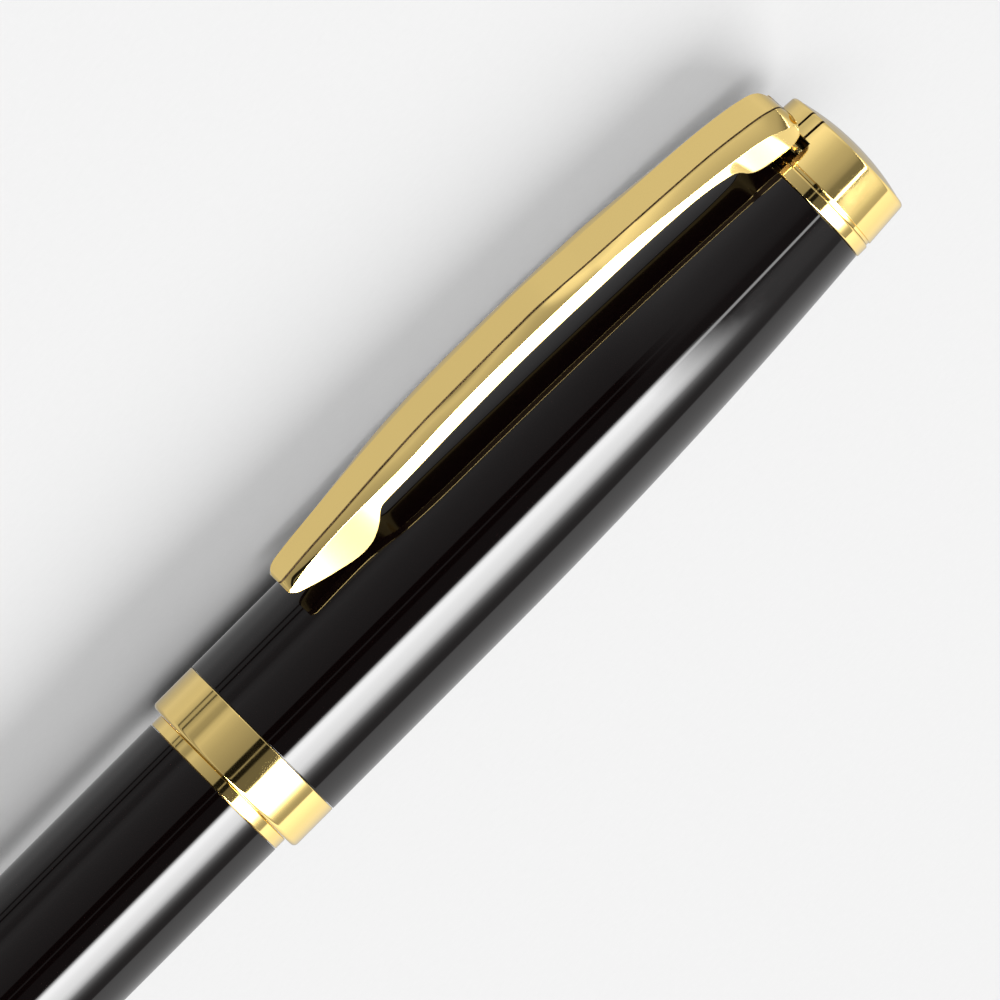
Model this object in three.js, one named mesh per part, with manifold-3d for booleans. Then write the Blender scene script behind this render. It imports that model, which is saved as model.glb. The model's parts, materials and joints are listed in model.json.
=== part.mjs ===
// A capped rollerball pen: gloss black lacquer with polished gold trim.
// Millimetres, +Z up. The pen lies along X: its flat tail face is at the origin and the cap points to -X.
// Inside this file every length along the pen is a distance from the tail face, named "...At".

import * as THREE from 'three';
import { mergeVertices } from 'three/addons/utils/BufferGeometryUtils.js';
import Module from 'manifold-3d';

const wasm = await Module();
wasm.setup();

// Overall sizes.
const barrelLength = 77; // tail face to the barrel's mouth
const capLength = 60.9; // cap lip to the top of the crown's dome
const barrelRadius = 5.99;
const lipStep = 0.81; // how far the cap stands proud of the barrel
const capRadius = barrelRadius + lipStep;
const refillRadius = 3.1; // the standard 6.2 mm rollerball refill

// Gaps between neighbours.
const seatGap = 0.04; // end to end, between pieces that are screwed or pressed together
const fitGap = 0.06; // radial, between pieces that are fixed in one another
const slideGap = 0.1; // radial, between pieces that slide or turn in one another

// Facets round a turned piece.
const shellSides = 36;
const coreSides = 24;
const tipSides = 16;

// Barrel, tail to mouth.
const tailCapLength = 3.9;
const tailFlatRadius = 2.6; // the flat that the pen can stand on
const tailDomeHeight = 0.35;
const tailTaper = 0.05; // how much the tail cap narrows to its end
const tailRingLength = 0.8;
const barrelStraight = 17; // length of the straight front of the barrel
const barrelCurve = 1130; // radius of the long curve from there to the tail
const barrelRingLength = 0.9;
const barrelRingInset = 0.014; // how far the ring lies below the lacquer
const barrelWallAtTail = 1.6;
const barrelBore = refillRadius + 0.65;
const edgeRadius = 0.25; // polished edges of the gold caps
const trimChamfer = 0.1; // the same on the rings
const ringProud = 0.04; // how far the tail ring stands over its neighbours
const screwRadius = 1.5; // both screws, in the tail and in the crown
const screwHeadRadius = 2.7;
const screwEndGap = 0.2; // free space past each screw's end
const tailSocketFloor = 1.5;
const tailHeadLength = 0.9;
const seatLength = 0.74;
const seatPegRadius = 1.6;
const seatPegLength = 1.2;
const screwSlotRadius = 0.6; // the drive holes in the screws' heads
const screwSlotDepth = 0.5;
const springLength = 4.36;
const springWire = 0.25; // wire radius
const springRadius = refillRadius - 0.8;
const springTurns = 3.5;

// Thread between the section and the barrel.
const threadPitch = 1.25;
const threadDepth = 0.4;
const threadLength = 6.4;
const threadRadius = barrelRadius - 1.54; // over the crests
const threadGap = 0.09;
const threadSides = 24;
const bushLength = 8.2;
const bushRadius = threadRadius + 0.72;
const threadRelief = 0.6; // plain neck between the thread and the washer
const spigotRadius = threadRadius - 0.15;

// Section, from the barrel's mouth forward.
const sectionRadius = barrelRadius - 0.99;
const washerLength = 0.35;
const sectionRingLength = 1;
const gripInset = 0.05; // how far the grip lies below its gold ring
const gripRearRadius = sectionRadius - gripInset;
const gripFrontRadius = gripRearRadius - 0.6;
const washerInset = 0.1;
const gripPastLiner = 2.85;
const gripWaist = 0.12; // how far the grip is pinched at the middle
const linerWall = 0.35;
const linerLip = 1;
const spigotLength = 5.6;
const noseLength = 3.2;
const noseWall = 0.55;
const noseCurve = 1.4; // over 1, the nose stays full before it narrows

// Refill, from the writing point backward.
const ballRadius = 0.35;
const ballShows = 0.2;
const ballPlay = 0.04;
const socketRadius = 1.15;
const socketRim = 0.08; // wall at the socket's very front
const socketCone = 4.2;
const socketLength = 7.2;
const coneTaper = 5.6;
const coneLength = 9.1;
const coneRadius = refillRadius - 0.8;
const refillFlange = 1.45;
const refillWall = 0.35;
const plugFlange = 0.95;
const plugLength = 3.5;
const plugVent = 0.5; // radius of the breathing hole
const coneSpigot = 3.5;
const wickGap = 1; // free space at each end of the ink reservoir
const feedRadius = 0.5;
const feedTipRadius = 0.22;
const feedPocket = 4; // how deep the feeder stands in the reservoir

// Cap, from the lip to the crown.
const bandLength = 3.76;
const bandEdge = 0.3; // radius of the lip's outer edge
const bandChamfer = 0.1;
const bandWall = 0.57;
const bandFlange = 0.82; // thickness of the band's inturned front
const clutchLength = 6;
const clutchWall = 0.44;
const clutchBead = 0.2; // height of the bead that grips the section's ring
const bandPlay = 0.15; // between the band's front and the section
const capStraight = 20.8; // lip to where the cap begins to narrow
const capCurve = 432; // radius of the long curve from there to the collar
const capEndWall = 2.6;
const capBore = sectionRadius + 0.3;
const deepBore = sectionRadius;
const crownHeight = 4.1;
const crownDome = 0.7;
const crownSocketWall = 0.9; // solid left between the crown's screw socket and the dome
const grooveWidth = 0.3;
const grooveDepth = 0.1;
const collarLength = 0.95;
const collarStep = 0.09; // how far the collar stands proud of the tube
const crownRadius = capRadius - 1.34;
const crownTaper = 0.17;
const innerCapLength = 19.8;
const innerCapWall = 0.45;
const innerCapEnd = 1.2;
const sealLength = 2.3;
const sealRadius = 2.5;
const sealDish = 0.5;
const tipRoom = 1.26; // from the ball to the seal
const crownHeadLength = 1.6;
const crownWasherLength = 0.32;
const headRoom = 0.1;
const washerOverHead = 0.5;

// Clip and its hinge.
const clipTipFromLip = 11.95;
const clipRootOverCrown = 2.05; // from the crown's foot to the clip's end
const clipWidth = 4.9;
const clipFaceWidth = 2.4;
const clipTipWidth = 3.4;
const clipTipFace = 2.3;
const clipRootFace = 2.56;
const clipUnderInset = 0.75; // chamfer under each side
const padGap = 0.1; // the pad hovers this far over the cap
const clipNeckWidth = 2.4;
const clipNeckLength = 2.2;
const notchWidth = clipNeckWidth + 1.8;
const notchIntoCrown = 1.6;
const tongueSlits = [0.4, 1.5]; // each slit's place beside the clip's middle plane
const tongueSlitWidth = 0.2;
const tongueSlitDepth = 0.6;
const carrierRadius = 3;
const pinRadius = 0.45;
const pinLength = 4.9;
const pinFromAxis = 4.2;
const pinPlay = 0.06; // radial, in the clip; half of it in the crown
const neckBehindPin = 1.7;
const leafLift = 0.06;
const leafThickness = 0.15;
const clipDrop = 28.5; // degrees that the clip points below the horizontal as the pen lies

// Places along the pen, worked out from the sizes above.
const tailRingAt = tailCapLength + seatGap;
const barrelAt = tailRingAt + tailRingLength + seatGap;
const tailFloorAt = barrelAt + barrelWallAtTail;
const tailHeadAt = tailFloorAt + seatGap;
const springSeatAt = tailHeadAt + tailHeadLength + seatGap;
const springAt = springSeatAt + seatLength + seatGap;
const refillAt = springAt + springLength;
const barrelRingAt = barrelLength - barrelRingLength;
const bushAt = barrelLength - bushLength;
const threadAt = barrelLength - threadLength - threadRelief;
const washerAt = barrelLength + seatGap;
const sectionRingAt = washerAt + washerLength + seatGap;
const gripAt = sectionRingAt + sectionRingLength + seatGap;
const crownTopAt = barrelLength + capLength;
const crownAt = crownTopAt - crownHeight - grooveWidth + seatGap;
const collarAt = crownAt - seatGap - collarLength;
const tubeEndAt = collarAt - seatGap;
const capFloorAt = tubeEndAt - capEndWall;
const crownWasherAt = capFloorAt - seatGap - crownWasherLength;
const crownHeadAt = crownWasherAt - seatGap - crownHeadLength;
const innerCapEndAt = crownHeadAt - headRoom;
const innerCapAt = innerCapEndAt - innerCapLength;
const sealAt = innerCapEndAt - innerCapEnd - seatGap - sealLength;
const tipAt = sealAt - tipRoom;
const ballAt = tipAt - ballRadius;
const socketConeAt = tipAt - ballShows - socketCone;
const socketAt = tipAt - ballShows - socketLength;
const coneShoulderAt = socketConeAt - coneLength;
const coneAt = coneShoulderAt - refillFlange;
const linerLipAt = coneShoulderAt + seatGap;
const linerEndAt = linerLipAt + linerLip;
const gripEndAt = linerEndAt + gripPastLiner;
const noseAt = gripEndAt + seatGap;
const noseEndAt = noseAt + noseLength;
const wickAt = refillAt + plugLength + wickGap;
const wickEndAt = coneAt - coneSpigot - seatGap;
const linerRadius = refillRadius + slideGap + linerWall;
const pinAt = crownAt + 0.8 + grooveWidth - seatGap;
const tailRadius = barrelOuter(barrelAt);

function finish(color, metalness, roughness) {
  return new THREE.MeshStandardMaterial({ color, metalness, roughness });
}
const blackLacquer = () => finish(0x14100f, 0, 0.06);
const polishedGold = () => finish(0xd2b36c, 1, 0.12);
const turnedBrass = () => finish(0xb5924c, 1, 0.35);
const steel = () => finish(0xb9bbbd, 1, 0.25);
const blackPlastic = () => finish(0x1d1d1f, 0, 0.45);
const clearPlastic = () => finish(0xd9d8d2, 0, 0.35);
const darkRubber = () => finish(0x2a2a2b, 0, 0.8);
const inkedFibre = () => finish(0x1c2246, 0, 0.95);

// Points of an arc about a centre (radius, along), from one angle to another in degrees.
function arc(centreRadius, centreAt, radius, fromDegrees, toDegrees, steps) {
  const points = [];
  for (let step = 0; step <= steps; step += 1) {
    const degrees = fromDegrees + ((toDegrees - fromDegrees) * step) / steps;
    const angle = THREE.MathUtils.degToRad(degrees);
    points.push([centreRadius + radius * Math.cos(angle), centreAt + radius * Math.sin(angle)]);
  }
  return points;
}

// Points of a line whose radius follows a function of the place along the pen.
function along(fromAt, toAt, steps, radiusAt) {
  const points = [];
  for (let step = 0; step <= steps; step += 1) {
    const at = fromAt + ((toAt - fromAt) * step) / steps;
    points.push([radiusAt(at), at]);
  }
  return points;
}

// A solid of revolution about the pen's axis. The outline is a loop of [radius, along] points.
function turned(outline, sides) {
  const loop = outline.map(([radius, at]) => new THREE.Vector2(radius, at));
  if (THREE.ShapeUtils.area(loop) < 0) loop.reverse();
  loop.push(loop[0].clone());
  return new THREE.LatheGeometry(loop, sides);
}

// A plain ring with square edges.
function ring(innerRadius, outerRadius, fromAt, toAt, sides) {
  const outline = [[innerRadius, fromAt], [outerRadius, fromAt], [outerRadius, toAt], [innerRadius, toAt]];
  return turned(outline, sides);
}

function toSolid(geometry) {
  const bare = geometry.clone();
  bare.deleteAttribute('normal');
  bare.deleteAttribute('uv');
  const merged = mergeVertices(bare, 1e-4);
  const corners = merged.index.array;
  const kept = [];
  for (let i = 0; i < corners.length; i += 3) {
    const [a, b, c] = [corners[i], corners[i + 1], corners[i + 2]];
    if (a !== b && b !== c && c !== a) kept.push(a, b, c);
  }
  const vertProperties = new Float32Array(merged.attributes.position.array);
  return new wasm.Manifold(new wasm.Mesh({ numProp: 3, vertProperties, triVerts: new Uint32Array(kept) }));
}

function toGeometry(solid) {
  const mesh = solid.getMesh();
  const geometry = new THREE.BufferGeometry();
  geometry.setAttribute('position', new THREE.BufferAttribute(mesh.vertProperties.slice(), 3));
  geometry.setIndex(new THREE.BufferAttribute(mesh.triVerts.slice(), 1));
  return geometry;
}

function cut(geometry, ...cutters) {
  return toGeometry(cutters.reduce((solid, cutter) => solid.subtract(toSolid(cutter)), toSolid(geometry)));
}

function join(geometry, ...others) {
  return toGeometry(others.reduce((solid, other) => solid.add(toSolid(other)), toSolid(geometry)));
}

// A box given by its low and high corners.
function block(low, high) {
  const size = high.map((value, axis) => value - low[axis]);
  const middle = high.map((value, axis) => (value + low[axis]) / 2);
  return new THREE.BoxGeometry(...size).translate(...middle);
}

// A smooth function through points of rising first value, with no overshoot between them.
function through(points) {
  const slopes = [];
  for (let i = 0; i < points.length - 1; i += 1) {
    slopes.push((points[i + 1][1] - points[i][1]) / (points[i + 1][0] - points[i][0]));
  }
  const tangents = points.map((_, i) => {
    const before = slopes[Math.max(i - 1, 0)];
    const after = slopes[Math.min(i, slopes.length - 1)];
    return before * after <= 0 ? 0 : (2 * before * after) / (before + after);
  });
  return (at) => {
    const last = points.length - 2;
    const found = points.findIndex((point, i) => i > 0 && at <= point[0]);
    const i = found < 0 ? last : Math.min(found - 1, last);
    const width = points[i + 1][0] - points[i][0];
    const t = Math.min(Math.max((at - points[i][0]) / width, 0), 1);
    const rise = points[i][1] * (1 + 2 * t) * (1 - t) ** 2 + points[i + 1][1] * t * t * (3 - 2 * t);
    return rise + width * (tangents[i] * t * (1 - t) ** 2 - tangents[i + 1] * t * t * (1 - t));
  };
}

// A right-hand thread as a solid rod about the pen's axis. Every rod has its turns at the same places.
function threadedRod(crestRadius, fromAt, toAt) {
  const shape = [[0, 0], [0.25, 0], [0.5, threadDepth], [0.75, threadDepth]];
  const turns = Math.ceil((toAt - fromAt) / threadPitch) + 4;
  const startAt = threadAt + threadPitch * (Math.floor((fromAt - threadAt) / threadPitch) - 2);
  const rows = turns * shape.length;
  const positions = [];
  const columnStart = [];
  for (let side = 0; side < threadSides; side += 1) {
    const angle = (2 * Math.PI * side) / threadSides;
    columnStart.push(positions.length / 3);
    const extra = side === 0 ? shape.length : 0;
    for (let row = 0; row <= rows + extra; row += 1) {
      const [share, height] = shape[row % shape.length];
      const turn = Math.floor(row / shape.length) + share + side / threadSides;
      const radius = crestRadius - threadDepth + height;
      positions.push(radius * Math.sin(angle), startAt + turn * threadPitch, radius * Math.cos(angle));
    }
  }
  const indices = [];
  const lowCentre = positions.length / 3;
  positions.push(0, startAt, 0);
  positions.push(0, startAt + (turns + 1) * threadPitch, 0);
  for (let side = 0; side < threadSides; side += 1) {
    const wraps = side === threadSides - 1;
    const here = columnStart[side];
    const next = wraps ? columnStart[0] + shape.length : columnStart[side + 1];
    for (let row = 0; row < rows; row += 1) {
      indices.push(here + row, next + row, here + row + 1);
      indices.push(next + row, next + row + 1, here + row + 1);
    }
    indices.push(lowCentre, next, here);
    indices.push(lowCentre + 1, here + rows, next + rows);
  }
  for (let row = 0; row < shape.length; row += 1) {
    indices.push(lowCentre, columnStart[0] + row, columnStart[0] + row + 1);
    indices.push(lowCentre + 1, columnStart[0] + rows + row + 1, columnStart[0] + rows + row);
  }
  const geometry = new THREE.BufferGeometry();
  geometry.setAttribute('position', new THREE.Float32BufferAttribute(positions, 3));
  geometry.setIndex(indices);
  const trim = ring(0, crestRadius + 1, fromAt, toAt, threadSides);
  return toGeometry(toSolid(geometry).intersect(toSolid(trim)));
}

function barrelOuter(at) {
  const past = Math.max(barrelLength - barrelStraight - at, 0);
  return barrelRadius - (past * past) / (2 * barrelCurve);
}

function capOuter(at) {
  const past = Math.max(at - barrelLength - capStraight, 0);
  return capRadius - (past * past) / (2 * capCurve);
}

function makeTailCap() {
  const outer = tailRadius - tailTaper;
  const dome = along(0, tailDomeHeight, 3, (at) => {
    const share = at / tailDomeHeight;
    return THREE.MathUtils.lerp(tailFlatRadius, outer - edgeRadius, Math.sqrt(share));
  });
  const corner = arc(outer - edgeRadius, tailDomeHeight + edgeRadius, edgeRadius, -90, 0, 3);
  return turned([
    [0, 0],
    ...dome,
    ...corner.slice(1),
    [tailRadius, tailCapLength - grooveWidth],
    [tailRadius - grooveDepth, tailCapLength - grooveWidth],
    [tailRadius - grooveDepth, tailCapLength],
    [screwRadius + fitGap, tailCapLength],
    [screwRadius + fitGap, tailSocketFloor],
    [0, tailSocketFloor],
  ], shellSides);
}

function makeTailRing() {
  const outer = tailRadius + ringProud;
  const endAt = tailRingAt + tailRingLength;
  return turned([
    [screwRadius + fitGap, tailRingAt],
    [outer - trimChamfer, tailRingAt],
    [outer, tailRingAt + trimChamfer],
    [outer, endAt - trimChamfer],
    [outer - trimChamfer, endAt],
    [screwRadius + fitGap, endAt],
  ], shellSides);
}

function makeTailScrew() {
  return turned([
    [0, tailSocketFloor + screwEndGap],
    [screwRadius, tailSocketFloor + screwEndGap],
    [screwRadius, tailHeadAt],
    [screwHeadRadius, tailHeadAt],
    [screwHeadRadius, tailHeadAt + tailHeadLength],
    [screwSlotRadius, tailHeadAt + tailHeadLength],
    [screwSlotRadius, tailHeadAt + tailHeadLength - screwSlotDepth],
    [0, tailHeadAt + tailHeadLength - screwSlotDepth],
  ], coreSides);
}

function makeBarrelTube() {
  const endAt = barrelRingAt - seatGap;
  const straightAt = barrelLength - barrelStraight;
  const mouthRadius = bushRadius + fitGap;
  return turned([
    [screwRadius + fitGap, barrelAt],
    ...along(barrelAt, straightAt, 5, barrelOuter),
    [barrelRadius, endAt],
    [mouthRadius, endAt],
    [mouthRadius, bushAt - seatGap],
    [barrelBore, bushAt - seatGap],
    [barrelBore, tailFloorAt],
    [screwRadius + fitGap, tailFloorAt],
  ], shellSides);
}

function makeBarrelRing() {
  const outer = barrelRadius - barrelRingInset;
  return turned([
    [bushRadius + fitGap, barrelRingAt],
    [outer, barrelRingAt],
    [outer, barrelLength - trimChamfer],
    [outer - trimChamfer, barrelLength],
    [bushRadius + fitGap, barrelLength],
  ], shellSides);
}

// The brass bush that is fixed in the barrel's mouth and takes the section's thread.
function makeThreadBush() {
  const body = ring(barrelBore, bushRadius, bushAt, barrelLength - seatGap, shellSides);
  const thread = threadedRod(threadRadius + threadGap, bushAt - 1, barrelLength + 1);
  return cut(body, thread);
}

function makeSpringSeat() {
  return turned([
    [0, springSeatAt],
    [barrelBore - fitGap, springSeatAt],
    [barrelBore - fitGap, springSeatAt + seatLength],
    [seatPegRadius, springSeatAt + seatLength],
    [seatPegRadius - 0.2, springSeatAt + seatLength + seatPegLength],
    [0, springSeatAt + seatLength + seatPegLength],
  ], coreSides);
}

class Helix extends THREE.Curve {
  constructor(radius, fromAt, toAt, turns) {
    super();
    Object.assign(this, { radius, fromAt, toAt, turns });
  }

  getPoint(t, target = new THREE.Vector3()) {
    const angle = 2 * Math.PI * this.turns * t;
    const at = THREE.MathUtils.lerp(this.fromAt, this.toAt, t);
    return target.set(this.radius * Math.sin(angle), at, this.radius * Math.cos(angle));
  }
}

function makeRefillSpring() {
  const section = new THREE.Shape();
  section.absarc(0, 0, springWire, 0, 2 * Math.PI);
  const room = springWire + seatGap;
  const path = new Helix(springRadius, springAt + room, refillAt - room, springTurns);
  return new THREE.ExtrudeGeometry(section, { steps: 12 * springTurns, curveSegments: 3, extrudePath: path });
}

// The threaded brass tube at the section's rear, with a spigot that carries the ring, washer and grip.
function makeSectionCoupling() {
  const bore = refillRadius + slideGap;
  const neck = threadRadius - threadDepth - 0.05;
  const neckAt = threadAt + threadLength;
  const thread = threadedRod(threadRadius, threadAt, neckAt);
  const front = turned([
    [0, neckAt - 0.3],
    [neck, neckAt - 0.3],
    [neck, barrelLength],
    [spigotRadius, washerAt],
    [spigotRadius, gripAt + spigotLength],
    [0, gripAt + spigotLength],
  ], coreSides);
  const hole = ring(0, bore, threadAt - 1, gripAt + spigotLength + 1, coreSides);
  return cut(join(thread, front), hole);
}

function makeSectionWasher() {
  const outer = sectionRadius - washerInset;
  return ring(spigotRadius + fitGap, outer, washerAt, washerAt + washerLength, shellSides);
}

function makeSectionRing() {
  const endAt = sectionRingAt + sectionRingLength;
  const inner = spigotRadius + fitGap;
  return turned([
    [inner, sectionRingAt],
    [sectionRadius - trimChamfer, sectionRingAt],
    [sectionRadius, sectionRingAt + 2 * trimChamfer],
    [sectionRadius, endAt - 2 * trimChamfer],
    [sectionRadius - trimChamfer, endAt],
    [inner, endAt],
  ], shellSides);
}

function makeSectionGrip() {
  const bore = linerRadius + fitGap;
  const counterbore = spigotRadius + fitGap;
  const counterboreEnd = gripAt + spigotLength + seatGap;
  const outer = along(gripAt, gripEndAt, 5, (at) => {
    const share = (at - gripAt) / (gripEndAt - gripAt);
    const plain = THREE.MathUtils.lerp(gripRearRadius, gripFrontRadius, share);
    return plain - gripWaist * Math.sin(Math.PI * share);
  });
  return turned([
    [counterbore, gripAt],
    ...outer,
    [bore, gripEndAt],
    [bore, counterboreEnd],
    [counterbore, counterboreEnd],
  ], shellSides);
}

function makeSectionLiner() {
  const fromAt = gripAt + spigotLength + 2 * seatGap;
  return turned([
    [refillRadius + slideGap, fromAt],
    [linerRadius, fromAt],
    [linerRadius, linerEndAt],
    [coneRadius + slideGap, linerEndAt],
    [coneRadius + slideGap, linerLipAt],
    [refillRadius + slideGap, linerLipAt],
  ], coreSides);
}

function refillConeRadius(at) {
  const share = THREE.MathUtils.clamp((socketConeAt - at) / coneTaper, 0, 1);
  return THREE.MathUtils.lerp(socketRadius + 0.2, coneRadius, share);
}

function makeNoseRing() {
  const mouth = refillConeRadius(noseEndAt) + 2 * slideGap;
  const rim = mouth + noseWall;
  return turned([
    [coneRadius + slideGap, linerEndAt + seatGap],
    [linerRadius, linerEndAt + seatGap],
    [linerRadius, noseAt],
    [gripFrontRadius - trimChamfer, noseAt],
    ...along(noseAt + trimChamfer, noseEndAt - trimChamfer, 4, (at) => {
      const share = (at - noseAt) / noseLength;
      return THREE.MathUtils.lerp(gripFrontRadius, rim, share ** noseCurve);
    }),
    [rim - trimChamfer, noseEndAt],
    [mouth, noseEndAt],
    [coneRadius + slideGap, noseAt - 0.6],
  ], shellSides);
}

function makeRefillTube() {
  const fromAt = refillAt + plugFlange + seatGap;
  return ring(refillRadius - refillWall, refillRadius, fromAt, coneAt - seatGap, coreSides);
}

function makeRefillPlug() {
  const spigot = refillRadius - refillWall - fitGap;
  return turned([
    [plugVent, refillAt],
    [refillRadius, refillAt],
    [refillRadius, refillAt + plugFlange],
    [spigot, refillAt + plugFlange],
    [spigot, refillAt + plugLength],
    [plugVent, refillAt + plugLength],
  ], coreSides);
}

function makeInkReservoir() {
  const outer = refillRadius - refillWall - fitGap;
  const pocket = feedRadius + fitGap;
  return turned([
    [0, wickAt],
    [outer, wickAt],
    [outer, wickEndAt],
    [pocket, wickEndAt],
    [pocket, wickEndAt - feedPocket],
    [0, wickEndAt - feedPocket],
  ], coreSides);
}

function makeInkFeeder() {
  const tipEndAt = ballAt - ballRadius - ballPlay;
  const rearAt = wickEndAt - feedPocket + slideGap;
  return turned([
    [0, rearAt],
    [feedRadius, rearAt],
    [feedRadius, socketAt - 0.15],
    [feedTipRadius, socketAt + 0.35],
    [feedTipRadius, tipEndAt],
    [0, tipEndAt],
  ], tipSides);
}

function makeRefillCone() {
  const spigot = refillRadius - refillWall - fitGap;
  const feedBore = feedRadius + slideGap;
  const socketBore = socketRadius + fitGap;
  return turned([
    [feedBore, coneAt - coneSpigot],
    [spigot, coneAt - coneSpigot],
    [spigot, coneAt],
    [refillRadius, coneAt],
    [refillRadius, coneShoulderAt],
    [coneRadius, coneShoulderAt],
    [coneRadius, socketConeAt - coneTaper],
    [socketRadius + 0.2, socketConeAt - seatGap],
    [socketBore, socketConeAt - seatGap],
    [socketBore, socketAt - seatGap],
    [feedBore, socketAt - seatGap],
  ], coreSides);
}

function makeTipSocket() {
  const frontAt = tipAt - ballShows;
  const channel = feedTipRadius + 0.06;
  const cup = ballRadius + ballPlay + 0.01;
  const cupFloorAt = ballAt - ballRadius - ballPlay / 2;
  return turned([
    [feedRadius + 0.25, socketAt],
    [socketRadius, socketAt],
    [socketRadius, socketConeAt],
    [0.85, socketConeAt + 1.4],
    [0.62, frontAt - 0.6],
    [ballRadius + socketRim, frontAt],
    [ballRadius, frontAt],
    [cup, ballAt],
    [cup, cupFloorAt],
    [channel, cupFloorAt],
    [channel, socketAt + 0.7],
  ], tipSides);
}

function makeWritingBall() {
  return new THREE.SphereGeometry(ballRadius, tipSides, tipSides / 2).translate(0, ballAt, 0);
}

function makeLipBand() {
  const fromAt = barrelLength + seatGap;
  const endAt = barrelLength + bandLength;
  const inner = capRadius - bandWall;
  return turned([
    [sectionRadius + bandPlay, fromAt],
    ...arc(capRadius - bandEdge, fromAt + bandEdge, bandEdge, -90, 0, 4),
    [capRadius, endAt - bandChamfer],
    [capRadius - bandChamfer, endAt],
    [inner, endAt],
    [inner, fromAt + bandFlange],
    [sectionRadius + bandPlay, fromAt + bandFlange],
  ], shellSides);
}

function makeCapClutch() {
  const fromAt = barrelLength + bandFlange + 3 * seatGap;
  const inner = sectionRadius + slideGap;
  const outer = inner + clutchWall;
  return turned([
    [inner, fromAt],
    [outer, fromAt],
    [outer, fromAt + clutchLength],
    [inner + clutchBead, fromAt + clutchLength],
    [inner + clutchBead, fromAt + 1.2],
    [inner, fromAt + 0.8],
  ], shellSides);
}

function makeCapTube() {
  const frontAt = barrelLength + bandFlange + 2 * seatGap;
  const shoulderAt = barrelLength + bandLength + seatGap;
  const curveAt = barrelLength + capStraight;
  const spigot = capRadius - bandWall - fitGap;
  const mouthBore = sectionRadius + slideGap + clutchWall + fitGap;
  const clutchEndAt = frontAt + clutchLength + 0.2;
  const endChamfer = 0.06;
  return turned([
    [mouthBore, frontAt],
    [spigot, frontAt],
    [spigot, shoulderAt],
    [capRadius - bandChamfer, shoulderAt],
    [capRadius, shoulderAt + bandChamfer],
    ...along(curveAt, tubeEndAt - endChamfer, 7, capOuter),
    [capOuter(tubeEndAt) - endChamfer, tubeEndAt],
    [screwRadius + fitGap, tubeEndAt],
    [screwRadius + fitGap, capFloorAt],
    [deepBore, capFloorAt],
    [deepBore, innerCapAt - 2],
    [capBore, innerCapAt - 3],
    [capBore, clutchEndAt],
    [mouthBore, clutchEndAt],
  ], shellSides);
}

function makeInnerCap() {
  const outer = deepBore - fitGap;
  const stepAt = noseEndAt + 0.9;
  const narrow = sealRadius + fitGap;
  return turned([
    [outer - innerCapWall, innerCapAt],
    [outer, innerCapAt],
    [outer, innerCapEndAt],
    [0, innerCapEndAt],
    [0, innerCapEndAt - innerCapEnd],
    [narrow, innerCapEndAt - innerCapEnd],
    [narrow, stepAt + 1],
    [outer - innerCapWall, stepAt],
  ], shellSides);
}

function makeTipSeal() {
  return turned([
    [0, sealAt + sealDish],
    [sealRadius / 2, sealAt],
    [sealRadius, sealAt],
    [sealRadius, sealAt + sealLength],
    [0, sealAt + sealLength],
  ], coreSides);
}

function makeCrownScrew() {
  const driveEndAt = crownHeadAt + screwSlotDepth;
  return turned([
    [0, driveEndAt],
    [screwSlotRadius, driveEndAt],
    [screwSlotRadius, crownHeadAt],
    [screwHeadRadius, crownHeadAt],
    [screwHeadRadius, crownHeadAt + crownHeadLength],
    [screwRadius, crownHeadAt + crownHeadLength],
    [screwRadius, crownTopAt - crownSocketWall - screwEndGap],
    [0, crownTopAt - crownSocketWall - screwEndGap],
  ], coreSides);
}

function makeCrownWasher() {
  const outer = screwHeadRadius + washerOverHead;
  return ring(screwRadius + fitGap, outer, crownWasherAt, crownWasherAt + crownWasherLength, coreSides);
}

// The slot through the collar and the foot of the crown that the clip's root stands in.
function notchBlock() {
  const half = notchWidth / 2;
  const low = [-half, tubeEndAt - 1, carrierRadius - 0.4];
  const high = [half, crownAt + grooveWidth + notchIntoCrown, capRadius + 1];
  return block(low, high);
}

// Anything across the clip: a rod along the hinge axis.
function hingeRod(radius, length) {
  const rod = new THREE.CylinderGeometry(radius, radius, length, tipSides);
  return rod.rotateZ(Math.PI / 2).translate(0, pinAt, pinFromAxis);
}

// Two of these free a small spring tongue in the crown's side.
function tongueSlit(side) {
  const notchEnd = crownAt + grooveWidth + notchIntoCrown;
  const low = [side - tongueSlitWidth / 2, notchEnd - 0.1, crownRadius - tongueSlitDepth];
  const high = [side + tongueSlitWidth / 2, crownTopAt + 0.1, capRadius];
  return block(low, high);
}

function makeCollar() {
  const outer = capOuter(tubeEndAt) + collarStep;
  const body = turned([
    [carrierRadius + fitGap, collarAt],
    [outer - trimChamfer, collarAt],
    [outer, collarAt + trimChamfer],
    [outer, collarAt + collarLength - trimChamfer],
    [outer - trimChamfer, collarAt + collarLength],
    [carrierRadius + fitGap, collarAt + collarLength],
  ], shellSides);
  return cut(body, notchBlock());
}

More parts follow.
